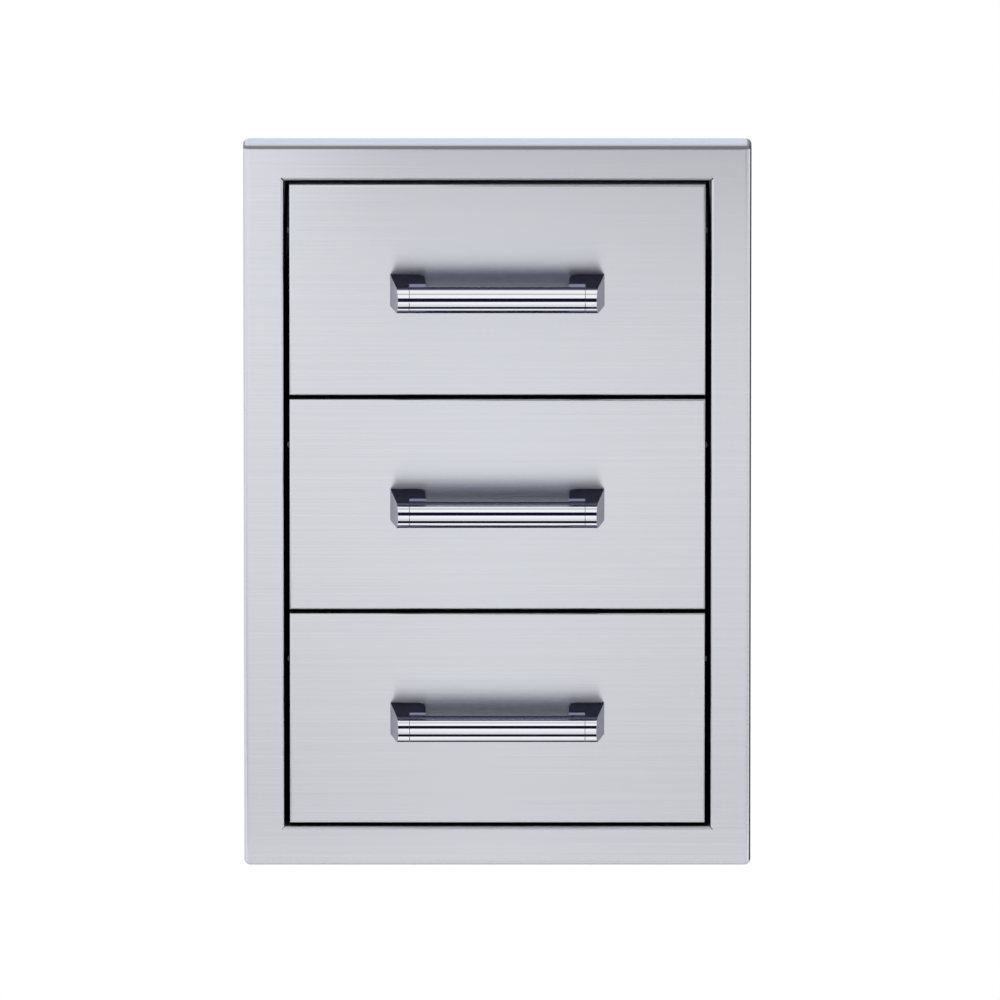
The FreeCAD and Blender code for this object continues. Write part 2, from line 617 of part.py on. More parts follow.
def drawer_liner(level):
    """Liner of the front: a shallow tray let into the back of the skin."""
    inset = FRONT_SHEET + LINER_CLEARANCE
    half = FRONT_WIDTH / 2 - inset
    low = front_bottom(level) + inset
    high = front_bottom(level) + FRONT_HEIGHT - inset
    wall = FRONT_SHEET
    front = FRONT_BACK_Y - LINER_FLANGE
    outer = box(-half, half, front, FRONT_BACK_Y, low, high)
    outer = outer.makeFillet(FRONT_RADIUS, front_edges(outer, FRONT_BACK_Y))
    inner = box(-half + wall, half - wall, front - CUT_REACH, FRONT_BACK_Y - wall, low + wall, high - wall)
    inner = inner.makeFillet(FRONT_RADIUS - wall, front_edges(inner, FRONT_BACK_Y - wall))
    return drilled(outer.cut(inner), front_rivet_places(level) + tub_rivet_places(level))


def drawer_tub(level):
    """Drawer box: floor and four walls with round bends, and a rim turned in round the mouth."""
    low = front_bottom(level) + TUB_RISE
    high = low + TUB_HEIGHT
    half = TUB_HALF_WIDTH
    back = TUB_BACK
    wall = TUB_SHEET
    outer = box(-half, half, FRONT_BACK_Y, back, low, high)
    outer = outer.makeFillet(TUB_RADIUS, outer.Edges)
    inner = box(-half + wall, half - wall, FRONT_BACK_Y + wall, back - wall, low + wall, high - wall)
    inner = inner.makeFillet(TUB_RADIUS - wall, inner.Edges)
    mouth = box(-half + TUB_RIM, half - TUB_RIM, FRONT_BACK_Y + TUB_RIM, back - TUB_RIM,
                high - 2 * wall, high + wall)
    mouth = mouth.makeFillet(TUB_RADIUS, edges_along(mouth, 2))
    sides = slide_screw_places(level)
    sides += [((-point[0], point[1], point[2]), direction) for point, direction in sides]
    return drilled(outer.cut(inner).cut(mouth), sides + tub_rivet_places(level))


def drawer_front_and_box(level, name):
    """Skin, liner, box and their rivets."""
    save(name + "_drawer_skin", drawer_skin(level))
    save(name + "_drawer_liner", drawer_liner(level))
    save(name + "_drawer_tub", drawer_tub(level))
    edge = 2 * FRONT_SHEET + LINER_CLEARANCE
    rivets = [rivet(point, direction, edge) for point, direction in front_rivet_places(level)]
    rivets += [rivet(point, direction, TUB_SHEET + FRONT_SHEET)
               for point, direction in tub_rivet_places(level)]
    save(name + "_drawer_rivets", Part.makeCompound(rivets))


def bracket_side_profile(z):
    """Side view of a bracket: a D that narrows from its base to the bar's own round."""
    half = BRACKET_BASE_HEIGHT / 2
    reach = math.hypot(BAR_STANDOFF, half)
    lean = math.acos(BAR_RADIUS / reach) + math.atan2(half, BAR_STANDOFF)
    touch_y = BAR_Y + BAR_RADIUS * math.cos(lean)
    touch_z = BAR_RADIUS * math.sin(lean)
    x = BRACKET_WAIST_INNER - BRACKET_BASE_WIDTH

    def point(y, rise):
        return FreeCAD.Vector(x, y, z + rise)

    edges = [
        Part.LineSegment(point(FACE_Y, half), point(touch_y, touch_z)).toShape(),
        Part.Arc(point(touch_y, touch_z), point(BAR_Y - BAR_RADIUS, 0), point(touch_y, -touch_z)).toShape(),
        Part.LineSegment(point(touch_y, -touch_z), point(FACE_Y, -half)).toShape(),
        Part.LineSegment(point(FACE_Y, -half), point(FACE_Y, half)).toShape(),
    ]
    return Part.Face(Part.Wire(edges))


def bracket_plan(z):
    """Plan of a bracket: it leans inwards from its base to the bar, with a rounded heel on the inside."""
    front = BAR_Y - BAR_RADIUS - CUT_REACH
    reach = (front - FACE_Y) / (BAR_Y - BAR_RADIUS - FACE_Y)
    outer_front = BRACKET_BASE_OUTER + (COLLAR_END - BRACKET_BASE_OUTER) * reach
    waist_y = FACE_Y - BRACKET_WAIST_DEPTH
    slope = (BRACKET_NECK_INNER - BRACKET_WAIST_INNER) / (BAR_Y - waist_y)
    inner_front = BRACKET_WAIST_INNER + slope * (front - waist_y)
    low = z - BRACKET_BASE_HEIGHT
    heel = [(BRACKET_BASE_INNER, FACE_Y),
            (BRACKET_BASE_INNER - BRACKET_HEEL_INSET, FACE_Y - BRACKET_HEEL_DEPTH),
            (BRACKET_WAIST_INNER, waist_y)]
    sides = [heel[-1], (inner_front, front), (outer_front, front), (BRACKET_BASE_OUTER, FACE_Y), heel[0]]
    wire = Part.makePolygon([FreeCAD.Vector(x, y, low) for x, y in sides])
    bend = Part.Arc(*[FreeCAD.Vector(x, y, low) for x, y in heel]).toShape()
    outline = Part.Wire(Part.__sortEdges__(wire.Edges + [bend]))
    return Part.Face(outline).extrude(FreeCAD.Vector(0, 0, 2 * BRACKET_BASE_HEIGHT))


def end_edges(block):
    """The edges round the outer end facet of a bracket, apart from the one on the drawer front."""
    facet = max(block.Faces, key=lambda face: face.CenterOfMass.x)
    return [edge for edge in facet.Edges if edge.BoundBox.YLength > BRACKET_EDGE_RADIUS]


def bracket(level):
    """Right handle bracket: leaning block with a shallow saddle behind the bar, a collar and a spigot."""
    z = front_bottom(level) + FRONT_HEIGHT / 2
    block = bracket_side_profile(z).extrude(FreeCAD.Vector(BRACKET_BASE_OUTER, 0, 0))
    block = block.common(bracket_plan(z))
    block = block.makeFillet(BRACKET_EDGE_RADIUS, end_edges(block))
    bar_end = BAR_LENGTH / 2
    seat = rod((0, BAR_Y, z), (1, 0, 0), BAR_RADIUS + SPIGOT_CLEARANCE, bar_end)
    arm_end = BAR_Y + BAR_RADIUS - SADDLE_DEPTH
    ahead = box(0, bar_end, BAR_Y - BAR_DIAMETER, arm_end, z - BAR_DIAMETER, z + BAR_DIAMETER)
    block = block.cut(seat).cut(ahead)
    spigot_radius = BAR_RADIUS - BAR_WALL - SPIGOT_CLEARANCE
    root = COLLAR_LENGTH / 2
    spigot = rod((bar_end - SPIGOT_LENGTH, BAR_Y, z), (1, 0, 0), spigot_radius, SPIGOT_LENGTH + root)
    x, y, z = handle_screw_places(level)[0]
    thread = rod((x, y, z), (0, -1, 0), HANDLE_SCREW_DIAMETER / 2 + HOLE_CLEARANCE, HANDLE_SCREW_LENGTH)
    return block.fuse(spigot).cut(thread).removeSplitter()


def handle(level, name):
    """Bar, brackets and screws of one handle."""
    z = front_bottom(level) + FRONT_HEIGHT / 2
    bar = rod((-BAR_LENGTH / 2, BAR_Y, z), (1, 0, 0), BAR_RADIUS, BAR_LENGTH)
    bore = rod((-BAR_LENGTH / 2, BAR_Y, z), (1, 0, 0), BAR_RADIUS - BAR_WALL, BAR_LENGTH)
    save(name + "_handle_bar", bar.cut(bore))
    right = bracket(level)
    save(name + "_handle_right_bracket", right)
    save(name + "_handle_left_bracket", mirrored(right))
    screws = []
    for x, y, z in handle_screw_places(level):
        head = rod((x, FACE_Y + FRONT_SHEET, z), (0, 1, 0), SCREW_HEAD_DIAMETER / 2, SCREW_HEAD_HEIGHT)
        shank = rod((x, FACE_Y + FRONT_SHEET, z), (0, -1, 0), HANDLE_SCREW_DIAMETER / 2, HANDLE_SCREW_LENGTH)
        screws.append(head.fuse(shank))
    save(name + "_handle_screws", Part.makeCompound(screws))


def main():
    """Build every sub-part."""
    os.makedirs("parts", exist_ok=True)
    face_frame()
    side_panels()
    cabinet()
    for level, name in enumerate(DRAWER_NAMES):
        slides(level, name)
        drawer_front_and_box(level, name)
        handle(level, name)


main()
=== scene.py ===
"""Looks of the outdoor kitchen drawer unit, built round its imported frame. Metres, with fronts facing -Y."""
import json
import math

import bmesh
import bpy
import numpy as np
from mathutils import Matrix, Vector


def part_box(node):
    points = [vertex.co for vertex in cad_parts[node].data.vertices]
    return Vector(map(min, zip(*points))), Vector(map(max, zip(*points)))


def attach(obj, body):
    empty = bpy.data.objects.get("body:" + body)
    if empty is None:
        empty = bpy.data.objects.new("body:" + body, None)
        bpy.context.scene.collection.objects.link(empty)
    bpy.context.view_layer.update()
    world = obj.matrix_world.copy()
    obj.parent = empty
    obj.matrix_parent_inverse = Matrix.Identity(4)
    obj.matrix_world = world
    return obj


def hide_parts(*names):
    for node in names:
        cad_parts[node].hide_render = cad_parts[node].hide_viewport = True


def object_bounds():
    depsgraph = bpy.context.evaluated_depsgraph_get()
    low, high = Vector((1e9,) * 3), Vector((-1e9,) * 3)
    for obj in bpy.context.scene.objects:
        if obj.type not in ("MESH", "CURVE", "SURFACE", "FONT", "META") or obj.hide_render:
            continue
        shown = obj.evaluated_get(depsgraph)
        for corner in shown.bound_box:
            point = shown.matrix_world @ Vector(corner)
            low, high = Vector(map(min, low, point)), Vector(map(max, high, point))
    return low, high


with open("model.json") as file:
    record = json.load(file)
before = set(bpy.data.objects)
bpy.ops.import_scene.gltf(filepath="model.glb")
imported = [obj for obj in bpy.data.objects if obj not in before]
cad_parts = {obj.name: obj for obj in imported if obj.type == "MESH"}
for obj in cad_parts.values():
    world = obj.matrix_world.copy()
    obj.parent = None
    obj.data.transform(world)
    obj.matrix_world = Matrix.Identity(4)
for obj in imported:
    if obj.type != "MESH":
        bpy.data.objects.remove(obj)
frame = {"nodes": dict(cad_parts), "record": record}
cad_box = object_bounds()
NODES = frame["nodes"]
LEVELS = ("top", "middle", "bottom")
SIDES = {"left": -1, "right": 1}
STAGES = ("outer", "inner")

# The view: a long lens from well in front, looking down by 13 degrees
VIEW_AIM = Vector((0.0023, -0.0254, 0.2883))
VIEW_FALL = 13.0
VIEW_DISTANCE = 26.4
VIEW_WIDTH = 0.851
VIEW_NEAREST = 1.0
VIEW_FARTHEST = 4 * VIEW_DISTANCE
SENSOR_WIDTH = 36.0

# Sky bands by height above the horizon, in degrees: lower end, upper end, colour
FRONT_BANDS = ((-90, 59, "#FFFFFF"), (61, 72, "#C9CAC4"), (75, 90, "#FFFFFF"))
BACK_BANDS = ((-90, -4, "#E4E6EC"), (4, 30, "#E6EDFA"), (50, 90, "#FFFFFF"))
LATER_BANDS = ((-90, -20, "#1C1C34"), (-14, -6, "#E4E4F2"), (0, 38, "#101020"), (62, 90, "#9496AE"))

# Where the sky turns from front to back, and where it is dark, as ranges of a direction's x, y and z
SKY_TURNS_BACK = (-0.15, 0.15)
DARK_SKY_RIGHT = (0.1, 0.35)
DARK_SKY_BACK = (0.0, 0.2)
DARK_SKY_ABOVE = (-0.6, -0.35)

# Number of reflections that parts a first reflection from the later ones
FIRST_REFLECTION = 1.5

# Floor, with the width of the edge between its matt and its white part
FLOOR_REACH = 120.0
FLOOR_CLEARANCE = 0.0003
SHADOW_EDGE = 0.03

# Front wall and the dark slot in it, with half the width of each soft edge of the slot
WALL_DISTANCE = 1.2
WALL_HALF_WIDTH = 2.5
WALL_LOW = -0.75
WALL_HIGH = 2.4
SLOT_LOW = 0.41
SLOT_LOW_SOFTNESS = 0.02
SLOT_HIGH = 1.12
SLOT_HIGH_SOFTNESS = 0.03
SLOT_LEFT = -0.15
SLOT_LEFT_SOFTNESS = 0.05

# Brightness of the wall, which rises between two heights and falls a little away from the middle
WALL_DIM_HEIGHT = -0.55
WALL_DIM_STRENGTH = 0.8
WALL_FULL_HEIGHT = 0.25
WALL_FULL_STRENGTH = 1.065
WALL_MIDDLE_REACH = 0.2
WALL_SIDE_STRENGTH = 0.93

# Dark strip of floor and white card before the unit
PIT_LEVEL = -0.53
PIT_NEAR = 0.415
PIT_FAR = 0.98
CARD_FRONT = -0.2
CARD_TOP = -0.12

# Painted shade in gaps and deep in the cabinet, darkening the metals' colour and edge tint: how far other
# sheets count, and the range of openness in which a metal goes from its darkest to all of its colour
GAP_REACH = 0.03
GAP_OPENNESS = (0.02, 0.15)
INSIDE_REACH = 0.5
INSIDE_OPENNESS = (0.15, 0.5)
SHADE_DARKEST = 0.02
SHADE_SAMPLES = 16

# Bends of the brushed sheet: the share of their colour that their upper edges keep under painted shade, and
# how much rougher they are
FRONT_BEND_SHARE = 0.85
FRONT_BEND_BLUR = 0.0
TRIM_BEND_SHARE = 0.37
TRIM_BEND_BLUR = 0.25

# Where a bend begins and ends, by the height of the face's normal
UPPER_BEND_BEGINS = (0.06, 0.3)
UPPER_BEND_ENDS = (0.9, 0.5)
BEND_BEGINS = (0.02, 0.2)
BEND_ENDS = (0.995, 0.95)
BEND_HEIGHT_EDGE = 0.001

# Patterns of the finishes as they are drawn: the distance from one light spot or line to the next
BELT_GRAIN_WIDTH = 0.0005
BELT_GRAIN_LENGTH = 0.3
ROLL_LINE_WIDTH = 0.0015
ROLL_LINE_LENGTH = 0.2
POLISH_WAVE = 0.0167
BLAST_GRIT = 0.00067
ZINC_SPANGLE = 0.0033
TOOL_MARK = 0.0011
MOULD_GRAIN = 0.0004
LAP_HAZE = 0.0014

# Values of a noise at which a pattern is at its darkest and at its palest: soft for lines, crisper for spots
LINE_DARK = 0.3
LINE_PALE = 0.7
SPOT_DARK = 0.35
SPOT_PALE = 0.65

# Direction of the grain, a hair off X so that faces that look along X still have a direction across it
GRAIN_WAY = (1.0, 0.02, 0.0)

# From this much of X in its normal on, a face looks sideways and its grain runs along Y
SIDEWAYS = 0.7

# Range of y in the normal in which a rolled member's front end turns to a painted dark shade
FRONT_END_PAINTED_SHADE = (-0.9, -0.98)

# Folded sheet sizes that the finished surfaces follow
FRAME_SHEET = 0.0012
FRAME_RADIUS = 0.005
FRAME_BACK_RADIUS = 0.0012
FRAME_SEAT = 0.012
STILE_WIDTH = 0.0346
TOP_RAIL = 0.0317
BOTTOM_RAIL = 0.0343
LIP_RADIUS = 0.0028
LIP_DEPTH = 0.024
LIP_SLIT = 0.0008
FRONT_SHEET = 0.001
FRONT_RADIUS = 0.0018
FRONT_FLAT_INSET = 3 * FRONT_RADIUS

# Handles
BAR_RADIUS = 0.0111
BAR_WALL = 0.0015
BAR_SEAM = 0.0005
BAR_STANDOFF = 0.0395
BRACKET_BASE_HALF_HEIGHT = 0.01375
BRACKET_BASE_OUTER = 0.0911
BRACKET_BASE_INNER = 0.0659
COLLAR_OUTER = 0.0843
COLLAR_INNER = 0.0749
BRACKET_WAIST_INNER = 0.0614
BRACKET_NECK_INNER = 0.0604
BRACKET_WAIST_DEPTH = 0.012
HEEL_POWER = 2.4
BRACKET_ARM_DEPTH = 0.0294
BRACKET_EDGE = 0.0005
BRACKET_EDGE_STEPS = 2

# A bracket's satin facet looks outwards by at least FACET_OUTWARD and up or down by at most FACET_UPWARD
FACET_OUTWARD = 0.7
FACET_UPWARD = 0.1

# Balls of the slides
BALL_RADIUS = 0.002
BALLS_IN_ROW = 5
CAGE_HALF_SHEET = 0.0002
CAGE_FLANGE_END = 0.002
BALL_ROW_MARGIN = 0.008

# Fineness: steps in a quarter bend, round a bar and from pole to pole of a ball, and the narrow flat strip
# that keeps the shading of a bend off the faces beside it
BEND_STEPS = 8
BAR_STEPS = 96
BALL_STEPS = 6
SUPPORT = 0.00015
MERGE_DISTANCE = 1e-7
SHARP_ANGLE = 35.0

# Setting of a range node that eases in and out
EASED = {"interpolation_type": "SMOOTHSTEP"}


def linear(hex_colour):
    """sRGB hex to a linear colour with alpha: a straight line near black, and a power of 2.4 above it."""
    parts = [int(hex_colour[i:i + 2], 16) / 255 for i in (1, 3, 5)]
    return [p / 12.92 if p <= 0.04045 else ((p + 0.055) / 1.055) ** 2.4 for p in parts] + [1.0]


def add(tree, kind, inputs=None, stops=(), **settings):
    """Add a node with its settings, links and values, and the (place, colour) stops of a colour ramp.

    An input given as a socket is linked to it, one given as a node is linked to that node's first output, and
    any other value is set.
    """
    node = tree.nodes.new(kind)
    for name, value in settings.items():
        setattr(node, name, value)
    for name, value in (inputs or {}).items():
        source = value.outputs[0] if isinstance(value, bpy.types.Node) else value
        if isinstance(source, bpy.types.NodeSocket):
            tree.links.new(source, node.inputs[name])
        else:
            node.inputs[name].default_value = source
    for number, (place, colour) in enumerate(stops):
        elements = node.color_ramp.elements
        element = elements[number] if number < len(elements) else elements.new(place)
        element.position = place
        element.color = linear(colour)
    return node


def new_material(name):
    """Empty node material with its tree."""
    material = bpy.data.materials.new(name)
    material.use_nodes = True
    material.node_tree.nodes.clear()
    return material, material.node_tree


def camera():
    """Camera far in front of the unit, looking down at the drawer fronts."""
    fall = math.radians(VIEW_FALL)
    look = Vector((0, math.cos(fall), -math.sin(fall)))
    data = bpy.data.cameras.new("view")
    data.sensor_width = SENSOR_WIDTH
    data.lens = SENSOR_WIDTH * VIEW_DISTANCE / VIEW_WIDTH
    data.clip_start = VIEW_NEAREST
    data.clip_end = VIEW_FARTHEST
    view = bpy.data.objects.new("view", data)
    view.location = VIEW_AIM - look * VIEW_DISTANCE
    view.rotation_mode = "QUATERNION"
    view.rotation_quaternion = look.to_track_quat("-Z", "Y")
    bpy.context.scene.collection.objects.link(view)
    bpy.context.scene.camera = view


def later_reflection(tree, depth):
    """0 for light seen in a first reflection, 1 for light seen in a reflection of a reflection."""
    return add(tree, "ShaderNodeMath", {0: depth, 1: FIRST_REFLECTION}, operation="GREATER_THAN")


def sky_bands(tree, height, bands):
    """Colour of the sky at a height: the sine of the height picks the place between the bands' ends."""
    place = add(tree, "ShaderNodeMapRange", {"Value": height, "From Min": -1.0, "From Max": 1.0})
    stops = [((math.sin(math.radians(degrees)) + 1) / 2, colour)
             for low, high, colour in bands for degrees in (low, high)]
    return add(tree, "ShaderNodeValToRGB", {"Fac": place}, stops)


def dark_sky(tree, way):
    """Share of the dark part of the sky, behind on the right and not below: three eased steps multiplied."""
    back = add(tree, "ShaderNodeMapRange", {"Value": way.outputs["Y"], "From Min": DARK_SKY_BACK[0],
                                            "From Max": DARK_SKY_BACK[1]}, **EASED)
    right = add(tree, "ShaderNodeMapRange", {"Value": way.outputs["X"], "From Min": DARK_SKY_RIGHT[0],
                                             "From Max": DARK_SKY_RIGHT[1]}, **EASED)
    above = add(tree, "ShaderNodeMapRange", {"Value": way.outputs["Z"], "From Min": DARK_SKY_ABOVE[0],
                                             "From Max": DARK_SKY_ABOVE[1]}, **EASED)
    aside = add(tree, "ShaderNodeMath", {0: back, 1: right}, operation="MULTIPLY")
    return add(tree, "ShaderNodeMath", {0: aside, 1: above}, operation="MULTIPLY")


def studio_world():
    """White studio round the unit, dark behind on the right and white to the camera.

    A reflection of a reflection sees its own bands, which are dark but for a strip below the horizon.
    """
    world = bpy.data.worlds.new("studio")
    world.use_nodes = True
    tree = world.node_tree
    tree.nodes.clear()
    ways = add(tree, "ShaderNodeTexCoord")
    way = add(tree, "ShaderNodeSeparateXYZ", {"Vector": ways.outputs["Generated"]})
    height = way.outputs["Z"]
    behind = add(tree, "ShaderNodeMapRange", {"Value": way.outputs["Y"], "From Min": SKY_TURNS_BACK[0],
                                              "From Max": SKY_TURNS_BACK[1]}, **EASED)
    sky = add(tree, "ShaderNodeMix", {"Factor": behind, 6: sky_bands(tree, height, FRONT_BANDS),
                                      7: sky_bands(tree, height, BACK_BANDS)}, data_type="RGBA")
    flagged = add(tree, "ShaderNodeMix", {"Factor": dark_sky(tree, way), 6: sky.outputs[2],
                                          7: linear("#3A3D45")}, data_type="RGBA")
    rays = add(tree, "ShaderNodeLightPath")
    scattered = add(tree, "ShaderNodeMath", {0: rays.outputs["Is Glossy Ray"],
                                             1: rays.outputs["Is Diffuse Ray"]}, operation="MAXIMUM")
    depth = add(tree, "ShaderNodeMath", {0: rays.outputs["Ray Depth"], 1: scattered}, operation="SUBTRACT")
    shaded = add(tree, "ShaderNodeMix", {"Factor": later_reflection(tree, depth), 6: flagged.outputs[2],
                                         7: sky_bands(tree, height, LATER_BANDS)}, data_type="RGBA")
    light = add(tree, "ShaderNodeBackground", {"Color": shaded.outputs[2]})
    white = add(tree, "ShaderNodeBackground", {"Color": linear("#FFFFFF")})
    shown = add(tree, "ShaderNodeMixShader", {"Fac": rays.outputs["Is Camera Ray"], 1: light, 2: white})
    add(tree, "ShaderNodeOutputWorld", {"Surface": shown})
    bpy.context.scene.world = world


def stage_plane(name, corners, material):
    """Flat four-cornered piece of the studio."""
    mesh = bpy.data.meshes.new(name)
    mesh.from_pydata(corners, [], [(0, 1, 2, 3)])
    mesh.materials.append(material)
    plane = bpy.data.objects.new(name, mesh)
    bpy.context.scene.collection.objects.link(plane)
    return plane


def beside_cabinet(tree):
    """0 below the cabinet and 1 beside it: the largest of three eased steps, at its sides, front and back."""
    place = add(tree, "ShaderNodeTexCoord")
    at = add(tree, "ShaderNodeSeparateXYZ", {"Vector": place.outputs["Object"]})
    aside = add(tree, "ShaderNodeMath", {0: at.outputs["X"]}, operation="ABSOLUTE")
    half_width = cad_box[1].x
    depth = cad_box[1].y
    sideways = add(tree, "ShaderNodeMapRange", {"Value": aside, "From Min": half_width - SHADOW_EDGE,
                                                "From Max": half_width}, **EASED)
    before = add(tree, "ShaderNodeMapRange", {"Value": at.outputs["Y"], "From Min": SHADOW_EDGE,
                                              "From Max": 0.0}, **EASED)
    behind = add(tree, "ShaderNodeMapRange", {"Value": at.outputs["Y"], "From Min": depth,
                                              "From Max": depth + SHADOW_EDGE}, **EASED)
    across = add(tree, "ShaderNodeMath", {0: sideways, 1: before}, operation="MAXIMUM")
    return add(tree, "ShaderNodeMath", {0: across, 1: behind}, operation="MAXIMUM")


def floor():
    """Pale floor just under the unit: matt below the cabinet, where its shadow lies, and white beside it."""
    material, tree = new_material("white studio floor")
    rays = add(tree, "ShaderNodeLightPath")
    white = add(tree, "ShaderNodeMath", {0: rays.outputs["Is Camera Ray"], 1: beside_cabinet(tree)},
                operation="MULTIPLY")
    matt = add(tree, "ShaderNodeBsdfDiffuse", {"Color": linear("#FFFFFF")})
    glow = add(tree, "ShaderNodeEmission", {"Strength": 1.0})
    mix = add(tree, "ShaderNodeMixShader", {"Fac": white, 1: matt, 2: glow})
    add(tree, "ShaderNodeOutputMaterial", {"Surface": mix})
    z = cad_box[0].z - FLOOR_CLEARANCE
    reach = FLOOR_REACH
    corners = [(-reach, -reach, z), (reach, -reach, z), (reach, reach, z), (-reach, reach, z)]
    plane = stage_plane("floor", corners, material)
    plane.visible_glossy = False


def first_reflection(tree, colour, strength):
    """Finish the material of a studio piece that glows in first reflections and is clear to later ones."""
    rays = add(tree, "ShaderNodeLightPath")
    glow = add(tree, "ShaderNodeEmission", {"Color": colour, "Strength": strength})
    clear = add(tree, "ShaderNodeBsdfTransparent")
    seen = add(tree, "ShaderNodeMixShader", {"Fac": later_reflection(tree, rays.outputs["Ray Depth"]),
                                             1: glow, 2: clear})
    add(tree, "ShaderNodeOutputMaterial", {"Surface": seen})


def camera_slot(tree, at):
    """1 in the wall's dark slot and 0 outside it: eased steps at its foot, top and left end, multiplied."""
    above = add(tree, "ShaderNodeMapRange", {
        "Value": at.outputs["Z"], "From Min": SLOT_LOW - SLOT_LOW_SOFTNESS,
        "From Max": SLOT_LOW + SLOT_LOW_SOFTNESS}, **EASED)
    below = add(tree, "ShaderNodeMapRange", {
        "Value": at.outputs["Z"], "From Min": SLOT_HIGH + SLOT_HIGH_SOFTNESS,
        "From Max": SLOT_HIGH - SLOT_HIGH_SOFTNESS}, **EASED)
    inside = add(tree, "ShaderNodeMapRange", {
        "Value": at.outputs["X"], "From Min": SLOT_LEFT - SLOT_LEFT_SOFTNESS,
        "From Max": SLOT_LEFT + SLOT_LEFT_SOFTNESS}, **EASED)
    band = add(tree, "ShaderNodeMath", {0: above, 1: below}, operation="MULTIPLY")
    return add(tree, "ShaderNodeMath", {0: band, 1: inside}, operation="MULTIPLY")


def wall_strength(tree, at):
    """Brightness of the wall: one eased step up with the height, times one down away from the middle."""
    off_middle = add(tree, "ShaderNodeMath", {0: at.outputs["X"]}, operation="ABSOLUTE")
    upright = add(tree, "ShaderNodeMapRange", {
        "Value": at.outputs["Z"], "From Min": WALL_DIM_HEIGHT, "From Max": WALL_FULL_HEIGHT,
        "To Min": WALL_DIM_STRENGTH, "To Max": WALL_FULL_STRENGTH}, **EASED)
    level = add(tree, "ShaderNodeMapRange", {
        "Value": off_middle, "From Max": WALL_MIDDLE_REACH,
        "To Min": 1.0, "To Max": WALL_SIDE_STRENGTH}, **EASED)
    return add(tree, "ShaderNodeMath", {0: upright, 1: level}, operation="MULTIPLY")


def front_wall():
    """Lit white wall in front of the unit, with the dark slot that the camera looks through.

    The slot is the dark line along each bar, and the light falls off towards the wall's foot.
    """
    material, tree = new_material("white wall with a camera slot")
    place = add(tree, "ShaderNodeTexCoord")
    at = add(tree, "ShaderNodeSeparateXYZ", {"Vector": place.outputs["Object"]})
    colour = add(tree, "ShaderNodeMix", {"Factor": camera_slot(tree, at), 6: linear("#FDFDFF"),
                                         7: linear("#13122C")}, data_type="RGBA")
    first_reflection(tree, colour.outputs[2], wall_strength(tree, at))
    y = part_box("face_frame")[0].y - WALL_DISTANCE
    half = WALL_HALF_WIDTH
    wall = stage_plane("front_wall", [(-half, y, WALL_LOW), (half, y, WALL_LOW), (half, y, WALL_HIGH),
                                      (-half, y, WALL_HIGH)], material)
    wall.visible_camera = False


def floor_pit():
    """Dark strip of floor between the unit and the wall, seen as the lower dark line along each bar."""
    material, tree = new_material("dark strip of floor")
    first_reflection(tree, linear("#1B1A30"), 1.0)
    near, far = -PIT_NEAR, -PIT_FAR
    half = WALL_HALF_WIDTH
    pit = stage_plane("floor_pit", [(-half, far, PIT_LEVEL), (half, far, PIT_LEVEL),
                                    (half, near, PIT_LEVEL), (-half, near, PIT_LEVEL)], material)
    pit.visible_camera = False


def low_card():
    """White card low before the unit: it lights the frame's bottom bend, below the bars' dark lines."""
    material, tree = new_material("white card")
    first_reflection(tree, linear("#FFFFFF"), 1.0)
    half = WALL_HALF_WIDTH
    card = stage_plane("low_card", [(-half, CARD_FRONT, PIT_LEVEL), (half, CARD_FRONT, PIT_LEVEL),
                                    (half, CARD_FRONT, CARD_TOP), (-half, CARD_FRONT, CARD_TOP)], material)
    card.visible_camera = False


def grain(tree, length, width):
    """Streaks along the level grain: a noise stretched along X, or along Y on faces that look sideways.

    length and width are a streak's own, and the place is divided by them before it reaches the noise.
    """
    place = add(tree, "ShaderNodeTexCoord")
    face = add(tree, "ShaderNodeNewGeometry")
    normal = add(tree, "ShaderNodeSeparateXYZ", {"Vector": face.outputs["Normal"]})
    size = add(tree, "ShaderNodeMath", {0: normal.outputs["X"]}, operation="ABSOLUTE")
    sideways = add(tree, "ShaderNodeMath", {0: size, 1: SIDEWAYS}, operation="GREATER_THAN")
    fine, long = 1 / width, 1 / length
    scale = add(tree, "ShaderNodeMix", {"Factor": sideways, 4: [long, fine, fine], 5: [fine, long, fine]},
                data_type="VECTOR")
    stretched = add(tree, "ShaderNodeVectorMath", {0: place.outputs["Object"], 1: scale.outputs[1]},
                    operation="MULTIPLY")
    return add(tree, "ShaderNodeTexNoise", {"Vector": stretched, "Scale": 1.0, "Detail": 3.0,
                                            "Roughness": 0.6})


def across_grain(tree):
    """Direction in the surface at right angles to its grain, along which highlights smear.

    It is the cross product of the face's normal and the grain's direction, at length 1.
    """
    face = add(tree, "ShaderNodeNewGeometry")
    smear = add(tree, "ShaderNodeVectorMath", {0: face.outputs["Normal"], 1: GRAIN_WAY},
                operation="CROSS_PRODUCT")
    return add(tree, "ShaderNodeVectorMath", {0: smear}, operation="NORMALIZE")


def painted_shade_share(tree, reach, openness):
    """Painted shade: the share of its colour that a metal keeps where other sheets within reach close it in.

    It eases from almost none to all of it as the face's openness goes through the range given.
    """
    closed, free = openness
    found = add(tree, "ShaderNodeAmbientOcclusion", {"Distance": reach}, samples=SHADE_SAMPLES)
    return add(tree, "ShaderNodeMapRange", {
        "Value": found.outputs["AO"], "From Min": closed, "From Max": free,
        "To Min": SHADE_DARKEST, "To Max": 1.0}, **EASED)


